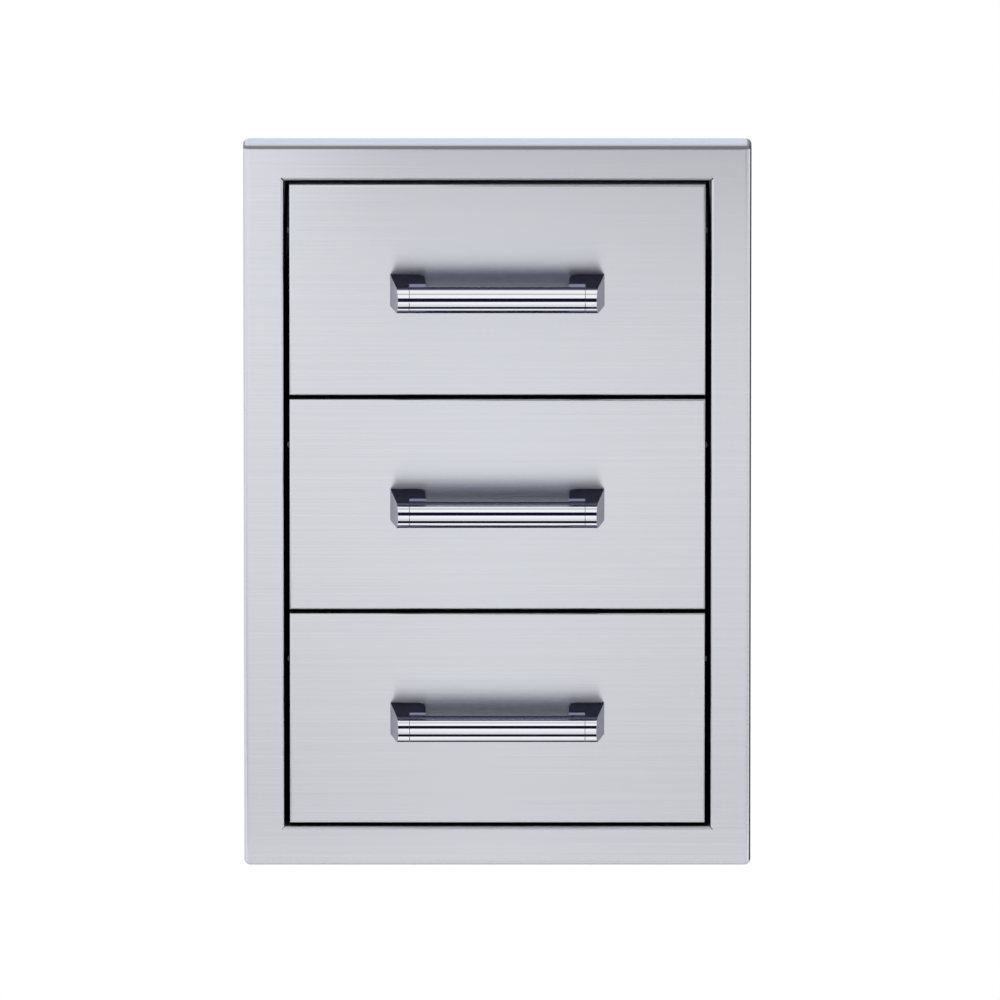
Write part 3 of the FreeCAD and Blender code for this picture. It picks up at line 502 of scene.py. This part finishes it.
def painted_bend_shade(tree, kept, lowest):
    """Painted shade: the share of colour kept where a sheet turns back at an upper edge above lowest, else 1.

    The face's normal rises from level to upright round the bend. Eased steps at the bend's beginning and end
    and at the height lowest, multiplied, say how much of a bend a place is.
    """
    face = add(tree, "ShaderNodeNewGeometry")
    normal = add(tree, "ShaderNodeSeparateXYZ", {"Vector": face.outputs["Normal"]})
    place = add(tree, "ShaderNodeTexCoord")
    at = add(tree, "ShaderNodeSeparateXYZ", {"Vector": place.outputs["Object"]})
    begun = add(tree, "ShaderNodeMapRange", {"Value": normal.outputs["Z"], "From Min": UPPER_BEND_BEGINS[0],
                                             "From Max": UPPER_BEND_BEGINS[1]}, **EASED)
    unended = add(tree, "ShaderNodeMapRange", {"Value": normal.outputs["Z"], "From Min": UPPER_BEND_ENDS[0],
                                               "From Max": UPPER_BEND_ENDS[1]}, **EASED)
    turning = add(tree, "ShaderNodeMath", {0: begun, 1: unended}, operation="MULTIPLY")
    high = add(tree, "ShaderNodeMapRange", {"Value": at.outputs["Z"], "From Min": lowest,
                                            "From Max": lowest + BEND_HEIGHT_EDGE}, **EASED)
    upper = add(tree, "ShaderNodeMath", {0: turning, 1: high}, operation="MULTIPLY")
    return add(tree, "ShaderNodeMapRange", {"Value": upper, "To Min": 1.0, "To Max": kept}, **EASED)


def bend_roughness(tree, blur):
    """Roughness that a level bend adds: blur inside it and 0 on the flats.

    Eased steps over how far the normal rises or falls, at the bend's beginning and end, are multiplied.
    """
    face = add(tree, "ShaderNodeNewGeometry")
    normal = add(tree, "ShaderNodeSeparateXYZ", {"Vector": face.outputs["Normal"]})
    tilt = add(tree, "ShaderNodeMath", {0: normal.outputs["Z"]}, operation="ABSOLUTE")
    begun = add(tree, "ShaderNodeMapRange", {"Value": tilt, "From Min": BEND_BEGINS[0],
                                             "From Max": BEND_BEGINS[1]}, **EASED)
    unended = add(tree, "ShaderNodeMapRange", {"Value": tilt, "From Min": BEND_ENDS[0],
                                               "From Max": BEND_ENDS[1]}, **EASED)
    curved = add(tree, "ShaderNodeMath", {0: begun, 1: unended}, operation="MULTIPLY")
    return add(tree, "ShaderNodeMapRange", {"Value": curved, "To Max": blur}, **EASED)


def brushed_stainless(name, bend, lowest, blur):
    """304 stainless sheet, belt-ground to a level grain: it smears reflections up and down.

    The real grain is about 0.1 mm wide, and it is drawn 0.5 mm wide so that it shows. Painted shade darkens
    its colour to the share bend on upper bends above lowest, and in gaps that other sheets close in; its
    bends are rougher by blur.
    """
    material, tree = new_material(name)
    streaks = grain(tree, BELT_GRAIN_LENGTH, BELT_GRAIN_WIDTH)
    tone = add(tree, "ShaderNodeValToRGB", {"Fac": streaks}, ((LINE_DARK, "#DBDDE2"), (LINE_PALE, "#E5E7EC")))
    # Painted shade: the colour and edge tint are darkened in gaps where other sheets close the face in, and
    # on upper bends.
    painted_shade = painted_shade_share(tree, GAP_REACH, GAP_OPENNESS)
    kept = add(tree, "ShaderNodeMath", {0: painted_bend_shade(tree, bend, lowest), 1: painted_shade}, operation="MULTIPLY")
    painted_shade_tone = add(tree, "ShaderNodeVectorMath", {0: tone, "Scale": kept}, operation="SCALE")
    ground = add(tree, "ShaderNodeMapRange", {"Value": streaks, "From Min": LINE_DARK, "From Max": LINE_PALE,
                                              "To Min": 0.21, "To Max": 0.23}, **EASED)
    roughness = add(tree, "ShaderNodeMath", {0: ground, 1: bend_roughness(tree, blur)}, operation="ADD")
    relief = add(tree, "ShaderNodeBump", {"Height": streaks, "Strength": 0.012, "Distance": 0.0002})
    shader = add(tree, "ShaderNodeBsdfPrincipled", {
        "Base Color": painted_shade_tone, "Specular Tint": painted_shade, "Metallic": 1.0, "Roughness": roughness,
        "Anisotropic": 0.8, "Tangent": across_grain(tree), "Normal": relief})
    add(tree, "ShaderNodeOutputMaterial", {"Surface": shader})
    return material


def rolled_stainless():
    """304 sheet as it leaves the cold rolls, for the cabinet and boxes: greyer and softer, with roll lines.

    Real roll lines are well under 1 mm wide, and they are drawn 1.5 mm wide so that they show. Deep in the
    cabinet its colour and edge tint are darkened: painted shade.
    """
    material, tree = new_material("cold-rolled 304 stainless")
    streaks = grain(tree, ROLL_LINE_LENGTH, ROLL_LINE_WIDTH)
    tone = add(tree, "ShaderNodeValToRGB", {"Fac": streaks}, ((LINE_DARK, "#B9BCC1"), (LINE_PALE, "#C6C9CE")))
    # Painted shade: the colour and edge tint darken by ambient occlusion deep in the cabinet.
    painted_shade = painted_shade_share(tree, INSIDE_REACH, INSIDE_OPENNESS)
    painted_shade_tone = add(tree, "ShaderNodeVectorMath", {0: tone, "Scale": painted_shade}, operation="SCALE")
    roughness = add(tree, "ShaderNodeMapRange", {
        "Value": streaks, "From Min": LINE_DARK, "From Max": LINE_PALE,
        "To Min": 0.34, "To Max": 0.4}, **EASED)
    relief = add(tree, "ShaderNodeBump", {"Height": streaks, "Strength": 0.03, "Distance": 0.0002})
    shader = add(tree, "ShaderNodeBsdfPrincipled", {
        "Base Color": painted_shade_tone, "Specular Tint": painted_shade, "Metallic": 1.0, "Roughness": roughness,
        "Anisotropic": 0.35, "Tangent": across_grain(tree), "Normal": relief})
    add(tree, "ShaderNodeOutputMaterial", {"Surface": shader})
    return material


def mirror_chrome():
    """Decorative chrome plate, buffed: a clear mirror with the faint waviness that polishing leaves."""
    material, tree = new_material("buffed chrome plate")
    place = add(tree, "ShaderNodeTexCoord")
    waves = add(tree, "ShaderNodeTexNoise", {"Vector": place.outputs["Object"], "Scale": 1 / POLISH_WAVE,
                                             "Detail": 1.0})
    relief = add(tree, "ShaderNodeBump", {"Height": waves, "Strength": 0.004, "Distance": 0.001})
    shader = add(tree, "ShaderNodeBsdfPrincipled", {
        "Base Color": linear("#EDEEF2"), "Metallic": 1.0, "Roughness": 0.05, "Normal": relief})
    add(tree, "ShaderNodeOutputMaterial", {"Surface": shader})
    return material


def satin_chrome():
    """Chrome plate over a blasted casting face: grey and pearly, with a fine even grit of about 0.3 mm.

    The pits of the grit scatter part of the light, so the face stays paler than a mirror would.
    """
    material, tree = new_material("satin chrome plate")
    place = add(tree, "ShaderNodeTexCoord")
    grit = add(tree, "ShaderNodeTexNoise", {"Vector": place.outputs["Object"], "Scale": 1 / BLAST_GRIT,
                                            "Detail": 2.0})
    tone = add(tree, "ShaderNodeValToRGB", {"Fac": grit}, ((SPOT_DARK, "#DADBE6"), (SPOT_PALE, "#F4F5FC")))
    relief = add(tree, "ShaderNodeBump", {"Height": grit, "Strength": 0.2, "Distance": 0.0002})
    shader = add(tree, "ShaderNodeBsdfPrincipled", {
        "Base Color": tone, "Metallic": 0.6, "Roughness": 0.6, "Normal": relief})
    add(tree, "ShaderNodeOutputMaterial", {"Surface": shader})
    return material


def zinc_plate():
    """Bright zinc plate with a clear passivation: bluish, with a faint spangle.

    Its front-facing ends and its places deep in the cabinet are darkened: painted shade.
    """
    material, tree = new_material("bright zinc plate")
    place = add(tree, "ShaderNodeTexCoord")
    spots = add(tree, "ShaderNodeTexNoise", {"Vector": place.outputs["Object"], "Scale": 1 / ZINC_SPANGLE,
                                             "Detail": 3.0})
    tone = add(tree, "ShaderNodeValToRGB", {"Fac": spots}, ((SPOT_DARK, "#B2B6BD"), (SPOT_PALE, "#BFC3CA")))
    face = add(tree, "ShaderNodeNewGeometry")
    normal = add(tree, "ShaderNodeSeparateXYZ", {"Vector": face.outputs["Normal"]})
    # Painted shade: faces that look to the front, the ends seen through the gaps, are painted near black.
    painted_front_end_shade = add(tree, "ShaderNodeMapRange", {"Value": normal.outputs["Y"], "From Min": FRONT_END_PAINTED_SHADE[0],
                                               "From Max": FRONT_END_PAINTED_SHADE[1]}, **EASED)
    ends = add(tree, "ShaderNodeMix", {"Factor": painted_front_end_shade, 6: tone, 7: linear("#26272A")}, data_type="RGBA")
    # Painted shade deep in the cabinet, found by ambient occlusion.
    painted_shade = painted_shade_share(tree, INSIDE_REACH, INSIDE_OPENNESS)
    painted_shade_tone = add(tree, "ShaderNodeVectorMath", {0: ends.outputs[2], "Scale": painted_shade}, operation="SCALE")
    roughness = add(tree, "ShaderNodeMapRange", {"Value": spots, "From Min": LINE_DARK, "From Max": LINE_PALE,
                                                 "To Min": 0.33, "To Max": 0.39}, **EASED)
    shader = add(tree, "ShaderNodeBsdfPrincipled", {
        "Base Color": painted_shade_tone, "Specular Tint": painted_shade, "Metallic": 1.0, "Roughness": roughness})
    add(tree, "ShaderNodeOutputMaterial", {"Surface": shader})
    return material


def turned_steel():
    """Stainless rivets and screws, tumbled dull, with small marks of the tool: pale dots in the dark gaps."""
    material, tree = new_material("stainless rivet")
    place = add(tree, "ShaderNodeTexCoord")
    marks = add(tree, "ShaderNodeTexNoise", {"Vector": place.outputs["Object"], "Scale": 1 / TOOL_MARK,
                                             "Detail": 2.0})
    tone = add(tree, "ShaderNodeValToRGB", {"Fac": marks}, ((SPOT_DARK, "#D5D7DB"), (SPOT_PALE, "#E6E8EC")))
    shader = add(tree, "ShaderNodeBsdfPrincipled", {"Base Color": tone, "Metallic": 0.3, "Roughness": 0.45})
    add(tree, "ShaderNodeOutputMaterial", {"Surface": shader})
    return material


def moulded_rubber():
    """Moulded black rubber buffers: matt, with a fine mould grain of about 0.4 mm."""
    material, tree = new_material("moulded black rubber")
    place = add(tree, "ShaderNodeTexCoord")
    mould = add(tree, "ShaderNodeTexNoise", {"Vector": place.outputs["Object"], "Scale": 1 / MOULD_GRAIN,
                                             "Detail": 2.0})
    tone = add(tree, "ShaderNodeValToRGB", {"Fac": mould}, ((SPOT_DARK, "#141414"), (SPOT_PALE, "#232323")))
    relief = add(tree, "ShaderNodeBump", {"Height": mould, "Strength": 0.3, "Distance": 0.0003})
    shader = add(tree, "ShaderNodeBsdfPrincipled", {"Base Color": tone, "Roughness": 0.7, "Normal": relief})
    add(tree, "ShaderNodeOutputMaterial", {"Surface": shader})
    return material


def ground_steel():
    """Hardened and ground bearing balls: small bright mirrors with a faint haze."""
    material, tree = new_material("ground bearing steel")
    place = add(tree, "ShaderNodeTexCoord")
    haze = add(tree, "ShaderNodeTexNoise", {"Vector": place.outputs["Object"], "Scale": 1 / LAP_HAZE,
                                            "Detail": 2.0})
    roughness = add(tree, "ShaderNodeMapRange", {"Value": haze, "From Min": LINE_DARK, "From Max": LINE_PALE,
                                                 "To Min": 0.08, "To Max": 0.16}, **EASED)
    shader = add(tree, "ShaderNodeBsdfPrincipled", {
        "Base Color": linear("#D3D5D9"), "Metallic": 1.0, "Roughness": roughness})
    add(tree, "ShaderNodeOutputMaterial", {"Surface": shader})
    return material


def arc(centre, radius, first, last):
    """Points on a circle from one angle to another, in degrees: centre + radius * (cos, sin)."""
    turn = np.radians(np.linspace(first, last, BEND_STEPS + 1))
    return np.stack([centre[0] + radius * np.cos(turn), centre[1] + radius * np.sin(turn)], axis=1)


def quads(rows, columns, close_rows=False, close_columns=False):
    """Faces of a grid of points, row by row: each joins a point with the next in its row and the two below.

    Where the grid is closed, the next after the last is the first again.
    """
    row = np.arange(rows if close_rows else rows - 1)[:, None]
    column = np.arange(columns if close_columns else columns - 1)[None, :]
    below = (row + 1) % rows
    beside = (column + 1) % columns
    corners = [row * columns + column, row * columns + beside,
               below * columns + beside, below * columns + column]
    return np.stack(corners, axis=-1).reshape(-1, 4)


def piece(name, shells, materials, body):
    """New piece of closed shells, each of points and faces, merged where they meet, with faces outwards."""
    points = np.concatenate([shell[0].reshape(-1, 3) for shell in shells])
    faces = []
    first = 0
    for shell in shells:
        faces.append(shell[1] + first)
        first += shell[0].size // 3
    mesh = bpy.data.meshes.new(name)
    mesh.from_pydata(points.tolist(), [], np.concatenate(faces).tolist())
    work = bmesh.new()
    work.from_mesh(mesh)
    bmesh.ops.remove_doubles(work, verts=work.verts, dist=MERGE_DISTANCE)
    bmesh.ops.dissolve_degenerate(work, edges=work.edges, dist=MERGE_DISTANCE)
    open_edges = [edge for edge in work.edges if edge.is_boundary]
    if open_edges:
        bmesh.ops.holes_fill(work, edges=open_edges, sides=0)
    bmesh.ops.recalc_face_normals(work, faces=work.faces)
    work.to_mesh(mesh)
    work.free()
    mesh.shade_smooth()
    mesh.set_sharp_from_angle(angle=math.radians(SHARP_ANGLE))
    for material in materials:
        mesh.materials.append(material)
    made = bpy.data.objects.new(name, mesh)
    bpy.context.scene.collection.objects.link(made)
    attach(made, body)
    return made


def ring(box, radius, profile):
    """A profile carried round a rectangle with round corners.

    Each profile point is an inset from the outline and a depth along Y. Its row of points keeps to the
    outline moved in by the inset: corners of radius minus inset, and square ones once that is used up.
    """
    low, high = box
    inset = profile[:, :1]
    centre_in = np.maximum(inset, radius)
    corner = radius - np.minimum(inset, radius)
    turn = np.linspace(0, math.pi / 2, BEND_STEPS + 1)[None, :]
    across, up = [], []
    for quarter, (side, level) in enumerate(((1, 1), (-1, 1), (-1, -1), (1, -1))):
        angle = turn + quarter * math.pi / 2
        across.append((high.x - centre_in if side > 0 else low.x + centre_in) + corner * np.cos(angle))
        up.append((high.z - centre_in if level > 0 else low.z + centre_in) + corner * np.sin(angle))
    x = np.hstack(across)
    z = np.hstack(up)
    y = np.broadcast_to(profile[:, 1:], x.shape)
    return np.stack([x, y, z], axis=-1)


def frame_profile(face, back):
    """Section of the frame's tray without its face, as (inset, depth).

    The outside is a quarter circle for the front edge, a straight return, a small quarter circle and the seat
    flange. The inside comes back one sheet further in, on a quarter circle with the front edge's own centre.
    """
    sheet = FRAME_SHEET
    outer, inner = FRAME_RADIUS, FRAME_RADIUS - FRAME_SHEET
    return np.concatenate([
        [(outer + SUPPORT, face)],
        arc((outer, face + outer), outer, 270, 180),
        [(0, face + outer + SUPPORT), (0, back - FRAME_BACK_RADIUS - SUPPORT)],
        arc((FRAME_BACK_RADIUS, back - FRAME_BACK_RADIUS), FRAME_BACK_RADIUS, 180, 90),
        [(FRAME_BACK_RADIUS + SUPPORT, back), (FRAME_SEAT, back)],
        [(FRAME_SEAT, back - sheet), (sheet, back - sheet)],
        arc((outer, face + outer), inner, 180, 270),
    ])


def lip_profile(face):
    """Closed section of a lip, as (distance outwards from the opening's edge, depth).

    A quarter circle turns the face back into a straight lip, and the other side is one sheet away from it.
    """
    sheet = FRAME_SHEET
    back = face + LIP_DEPTH
    centre = (LIP_RADIUS, face + LIP_RADIUS)
    return np.concatenate([
        arc(centre, LIP_RADIUS, 270, 180),
        [(0, face + LIP_RADIUS + SUPPORT), (0, back), (sheet, back), (sheet, face + LIP_RADIUS + SUPPORT)],
        arc(centre, LIP_RADIUS - sheet, 180, 270),
    ])


def lip(profile, edge, outward, ends, upright):
    """One lip: its section carried along a side of the opening, with ends cut along the corner's diagonal.

    At either end a point lies as far past the corner as it lies outwards, less the slit.
    """
    out, depth = profile[:, 0], profile[:, 1]
    rows = []
    for end, hand in zip(ends, (-1, 1)):
        along = end + hand * (out - LIP_SLIT)
        across = edge + outward * out
        rows.append(np.stack([across, depth, along] if upright else [along, depth, across], axis=1))
    points = np.stack(rows)
    return points, quads(2, len(profile), close_columns=True)


def trim_frame(steel):
    """Trim frame: the folded tray ring and the four turned-back lips with their slit corners."""
    low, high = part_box("face_frame")
    left, right = low.x + STILE_WIDTH, high.x - STILE_WIDTH
    bottom, top = low.z + BOTTOM_RAIL, high.z - TOP_RAIL
    tray = ring((low, high), FRAME_RADIUS, frame_profile(low.y, high.y))
    grow = Vector((LIP_RADIUS, 0, LIP_RADIUS))
    opening = (Vector((left, 0, bottom)) - grow, Vector((right, 0, top)) + grow)
    edge = ring(opening, 0.0, np.array([(0.0, low.y), (0.0, low.y + FRAME_SHEET)]))
    points = np.concatenate([edge[:1], tray, edge[1:]])
    shells = [(points, quads(*points.shape[:2], close_rows=True, close_columns=True))]
    profile = lip_profile(low.y)
    shells.append(lip(profile, right, 1, (bottom, top), True))
    shells.append(lip(profile, left, -1, (bottom, top), True))
    shells.append(lip(profile, top, 1, (left, right), False))
    shells.append(lip(profile, bottom, -1, (left, right), False))
    made = piece("trim_frame", shells, [steel], "cabinet")
    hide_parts("face_frame")


def front_skin(level, steel):
    """Skin of one drawer front: a shallow tray of folded sheet with square corners and a round front edge.

    Its section runs from the flat face round a quarter circle to the straight return, and back one sheet in.
    """
    low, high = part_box(level + "_drawer_skin")
    face, back = low.y, high.y
    outer, inner, sheet = FRONT_RADIUS, FRONT_RADIUS - FRONT_SHEET, FRONT_SHEET
    section = np.concatenate([
        [(FRONT_FLAT_INSET, face), (outer + SUPPORT, face)],
        arc((outer, face + outer), outer, 270, 180),
        [(0, face + outer + SUPPORT), (0, back), (sheet, back), (sheet, face + outer + SUPPORT)],
        arc((outer, face + outer), inner, 180, 270),
        [(FRONT_FLAT_INSET, face + sheet)],
    ])
    tray = ring((low, high), 0.0, section)
    made = piece(level + "_front_skin", [(tray, quads(*tray.shape[:2], close_columns=True))], [steel],
                 level + "_drawer")
    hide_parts(level + "_drawer_skin")


def turned(profile, y, z):
    """Closed section of (x, radius) turned about an axis along X: y - radius * cos and z + radius * sin."""
    angle = np.linspace(0, 2 * math.pi, BAR_STEPS, endpoint=False)[None, :]
    x = np.broadcast_to(profile[:, :1], (len(profile), BAR_STEPS))
    radius = profile[:, 1:]
    points = np.stack([x, y - radius * np.cos(angle), z + radius * np.sin(angle)], axis=-1)
    return points, quads(len(profile), BAR_STEPS, close_rows=True, close_columns=True)


def handle_bar(level, chrome):
    """Bar of one handle: a polished tube with finely broken ends, which draw the seams at the collars."""
    low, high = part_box(level + "_handle_bar")
    y, z = (low.y + high.y) / 2, (low.z + high.z) / 2
    bore = BAR_RADIUS - BAR_WALL
    profile = np.array([(low.x, bore), (low.x, BAR_RADIUS - BAR_SEAM), (low.x + BAR_SEAM, BAR_RADIUS),
                        (high.x - BAR_SEAM, BAR_RADIUS), (high.x, BAR_RADIUS - BAR_SEAM), (high.x, bore)])
    made = piece(level + "_bar", [turned(profile, y, z)], [chrome], level + "_drawer")
    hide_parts(level + "_handle_bar")


def bracket_stations():
    """Depths of the bracket from the front's face, with its half height and inner and outer edge at each.

    From the side, a straight line leans in from the base until it touches the bar's circle, and then follows
    the circle. lean is the angle of that touching point. The outer edge is a straight line from base to
    collar. The inner edge comes in to the waist on a power curve, runs straight to the neck, and steps to the
    collar.
    """
    lean = math.acos(BAR_RADIUS / math.hypot(BAR_STANDOFF, BRACKET_BASE_HALF_HEIGHT))
    lean += math.atan2(BRACKET_BASE_HALF_HEIGHT, BAR_STANDOFF)
    touch = BAR_STANDOFF - BAR_RADIUS * math.cos(lean)
    touch_height = BAR_RADIUS * math.sin(lean)
    heel = np.linspace(0, BRACKET_WAIST_DEPTH, BEND_STEPS + 1)
    start = math.asin((touch - BAR_STANDOFF) / BAR_RADIUS)
    nose = BAR_STANDOFF + BAR_RADIUS * np.sin(np.linspace(start, math.pi / 2, BAR_STEPS // 4 + 1))
    depth = np.concatenate([heel, [BRACKET_ARM_DEPTH, BRACKET_ARM_DEPTH], nose])
    slope = BRACKET_BASE_HALF_HEIGHT + (touch_height - BRACKET_BASE_HALF_HEIGHT) * depth / touch
    circle = np.sqrt(np.maximum(BAR_RADIUS ** 2 - (depth - BAR_STANDOFF) ** 2, 0))
    half_height = np.where(depth < touch, slope, circle)
    outer = BRACKET_BASE_OUTER + (COLLAR_OUTER - BRACKET_BASE_OUTER) * depth / depth[-1]
    bulge = np.clip(1 - depth / BRACKET_WAIST_DEPTH, 0, 1)
    rounding = BRACKET_WAIST_INNER + (BRACKET_BASE_INNER - BRACKET_WAIST_INNER) * bulge ** HEEL_POWER
    along = (depth - BRACKET_WAIST_DEPTH) / (BAR_STANDOFF - BRACKET_WAIST_DEPTH)
    neck = BRACKET_WAIST_INNER + (BRACKET_NECK_INNER - BRACKET_WAIST_INNER) * along
    inner = np.where(depth < BRACKET_WAIST_DEPTH, rounding, neck)
    inner[len(heel) + 1:] = COLLAR_INNER
    return depth, half_height, inner, outer


def satin_facets(mesh, hand):
    """Give the second material to the faces on a collar's outer end, picked by their normal and place."""
    normals = np.empty(3 * len(mesh.polygons))
    centres = np.empty(3 * len(mesh.polygons))
    mesh.polygons.foreach_get("normal", normals)
    mesh.polygons.foreach_get("center", centres)
    normals = normals.reshape(-1, 3)
    outward = hand * centres.reshape(-1, 3)[:, 0]
    facets = (hand * normals[:, 0] > FACET_OUTWARD) & (np.abs(normals[:, 2]) < FACET_UPWARD)
    facets &= outward > COLLAR_INNER + 2 * BRACKET_EDGE
    mesh.polygons.foreach_set("material_index", facets.astype(np.int32))


def bracket(level, side, chrome, satin):
    """Handle bracket: level rectangles stacked outwards from the front, ending in the bar's own round.

    Past the arm the rectangles narrow to the collar, and the step between them is the arm's end.
    """
    low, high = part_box(level + "_handle_bar")
    z = (low.z + high.z) / 2
    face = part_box(level + "_drawer_skin")[0].y
    hand = SIDES[side]
    depth, half_height, inner, outer = bracket_stations()
    y = face - depth
    corners = [(inner, -half_height), (outer, -half_height), (outer, half_height), (inner, half_height)]
    points = np.stack([np.stack([hand * x, y, z + rise], axis=1) for x, rise in corners], axis=1)
    made = piece(f"{level}_{side}_bracket", [(points, quads(len(depth), 4, close_columns=True))],
                 [chrome, satin], level + "_drawer")
    satin_facets(made.data, hand)
    edge = made.modifiers.new("broken edges", "BEVEL")
    edge.width = BRACKET_EDGE
    edge.segments = BRACKET_EDGE_STEPS
    edge.limit_method = "ANGLE"
    edge.angle_limit = math.radians(SHARP_ANGLE)
    edge.harden_normals = True
    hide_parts(f"{level}_handle_{side}_bracket")


def balls(centres):
    """Small spheres round the given centres.

    Each point is the centre + radius * (cos height * cos turn, cos height * sin turn, sin height).
    """
    height = np.linspace(-math.pi / 2, math.pi / 2, BALL_STEPS + 1)[:, None]
    turn = np.linspace(0, 2 * math.pi, 2 * BALL_STEPS, endpoint=False)[None, :]
    unit = np.stack([np.cos(height) * np.cos(turn), np.cos(height) * np.sin(turn),
                     np.broadcast_to(np.sin(height), (BALL_STEPS + 1, 2 * BALL_STEPS))], axis=-1)
    faces = quads(BALL_STEPS + 1, 2 * BALL_STEPS, close_columns=True)
    return [(unit * BALL_RADIUS + centre, faces) for centre in centres]


def cage_reach(stage):
    """Distance of the ball centres from the middle plane: the cage's innermost points, and a little more."""
    mesh = NODES[f"top_slide_{stage}_cages"].data
    points = np.empty(3 * len(mesh.vertices))
    mesh.vertices.foreach_get("co", points)
    return np.abs(points.reshape(-1, 3)[:, 0]).min() + CAGE_FLANGE_END


def slide_balls(level, stage, steel):
    """Balls in the windows of one drawer's left and right cages, which they travel with."""
    low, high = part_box(f"{level}_slide_{stage}_cages")
    rows = np.linspace(low.y + BALL_ROW_MARGIN, high.y - BALL_ROW_MARGIN, BALLS_IN_ROW)
    reach = cage_reach(stage)
    centres = [np.array((hand * reach, y, z)) for hand in SIDES.values() for y in rows
               for z in (low.z + CAGE_HALF_SHEET, high.z - CAGE_HALF_SHEET)]
    piece(f"{level}_{stage}_balls", balls(centres), [steel], f"{level}_{stage}_ball_cages")


def dress_nodes(finishes):
    """Give every CAD node the material of its slot, with rolled steel for the parts behind the fronts."""
    for part in frame["record"]["subparts"]:
        mesh = NODES[part["node"]].data
        mesh.materials.clear()
        hidden = "panel" in part["node"] or "tub" in part["node"] or "liner" in part["node"]
        mesh.materials.append(finishes["rolled_stainless" if hidden else part["material_slot"]])


# Studio
camera()
studio_world()
floor()
front_wall()
floor_pit()
low_card()

# Finishes
finishes = {
    "brushed_stainless": brushed_stainless("belt-ground 304 stainless front", FRONT_BEND_SHARE, cad_box[0].z,
                                           FRONT_BEND_BLUR),
    "rolled_stainless": rolled_stainless(),
    "polished_chrome": mirror_chrome(),
    "zinc_plated_steel": zinc_plate(),
    "rivet_steel": turned_steel(),
    "rubber": moulded_rubber(),
}
dress_nodes(finishes)
trim_steel = brushed_stainless("belt-ground 304 stainless frame", TRIM_BEND_SHARE,
                               cad_box[1].z - TOP_RAIL / 2, TRIM_BEND_BLUR)
satin = satin_chrome()
bearing = ground_steel()

# Pieces
trim_frame(trim_steel)
for level in LEVELS:
    front_skin(level, finishes["brushed_stainless"])
    handle_bar(level, finishes["polished_chrome"])
    for side in SIDES:
        bracket(level, side, finishes["polished_chrome"], satin)
    for stage in STAGES:
        slide_balls(level, stage, bearing)

bpy.context.scene.view_settings.view_transform = "Standard"
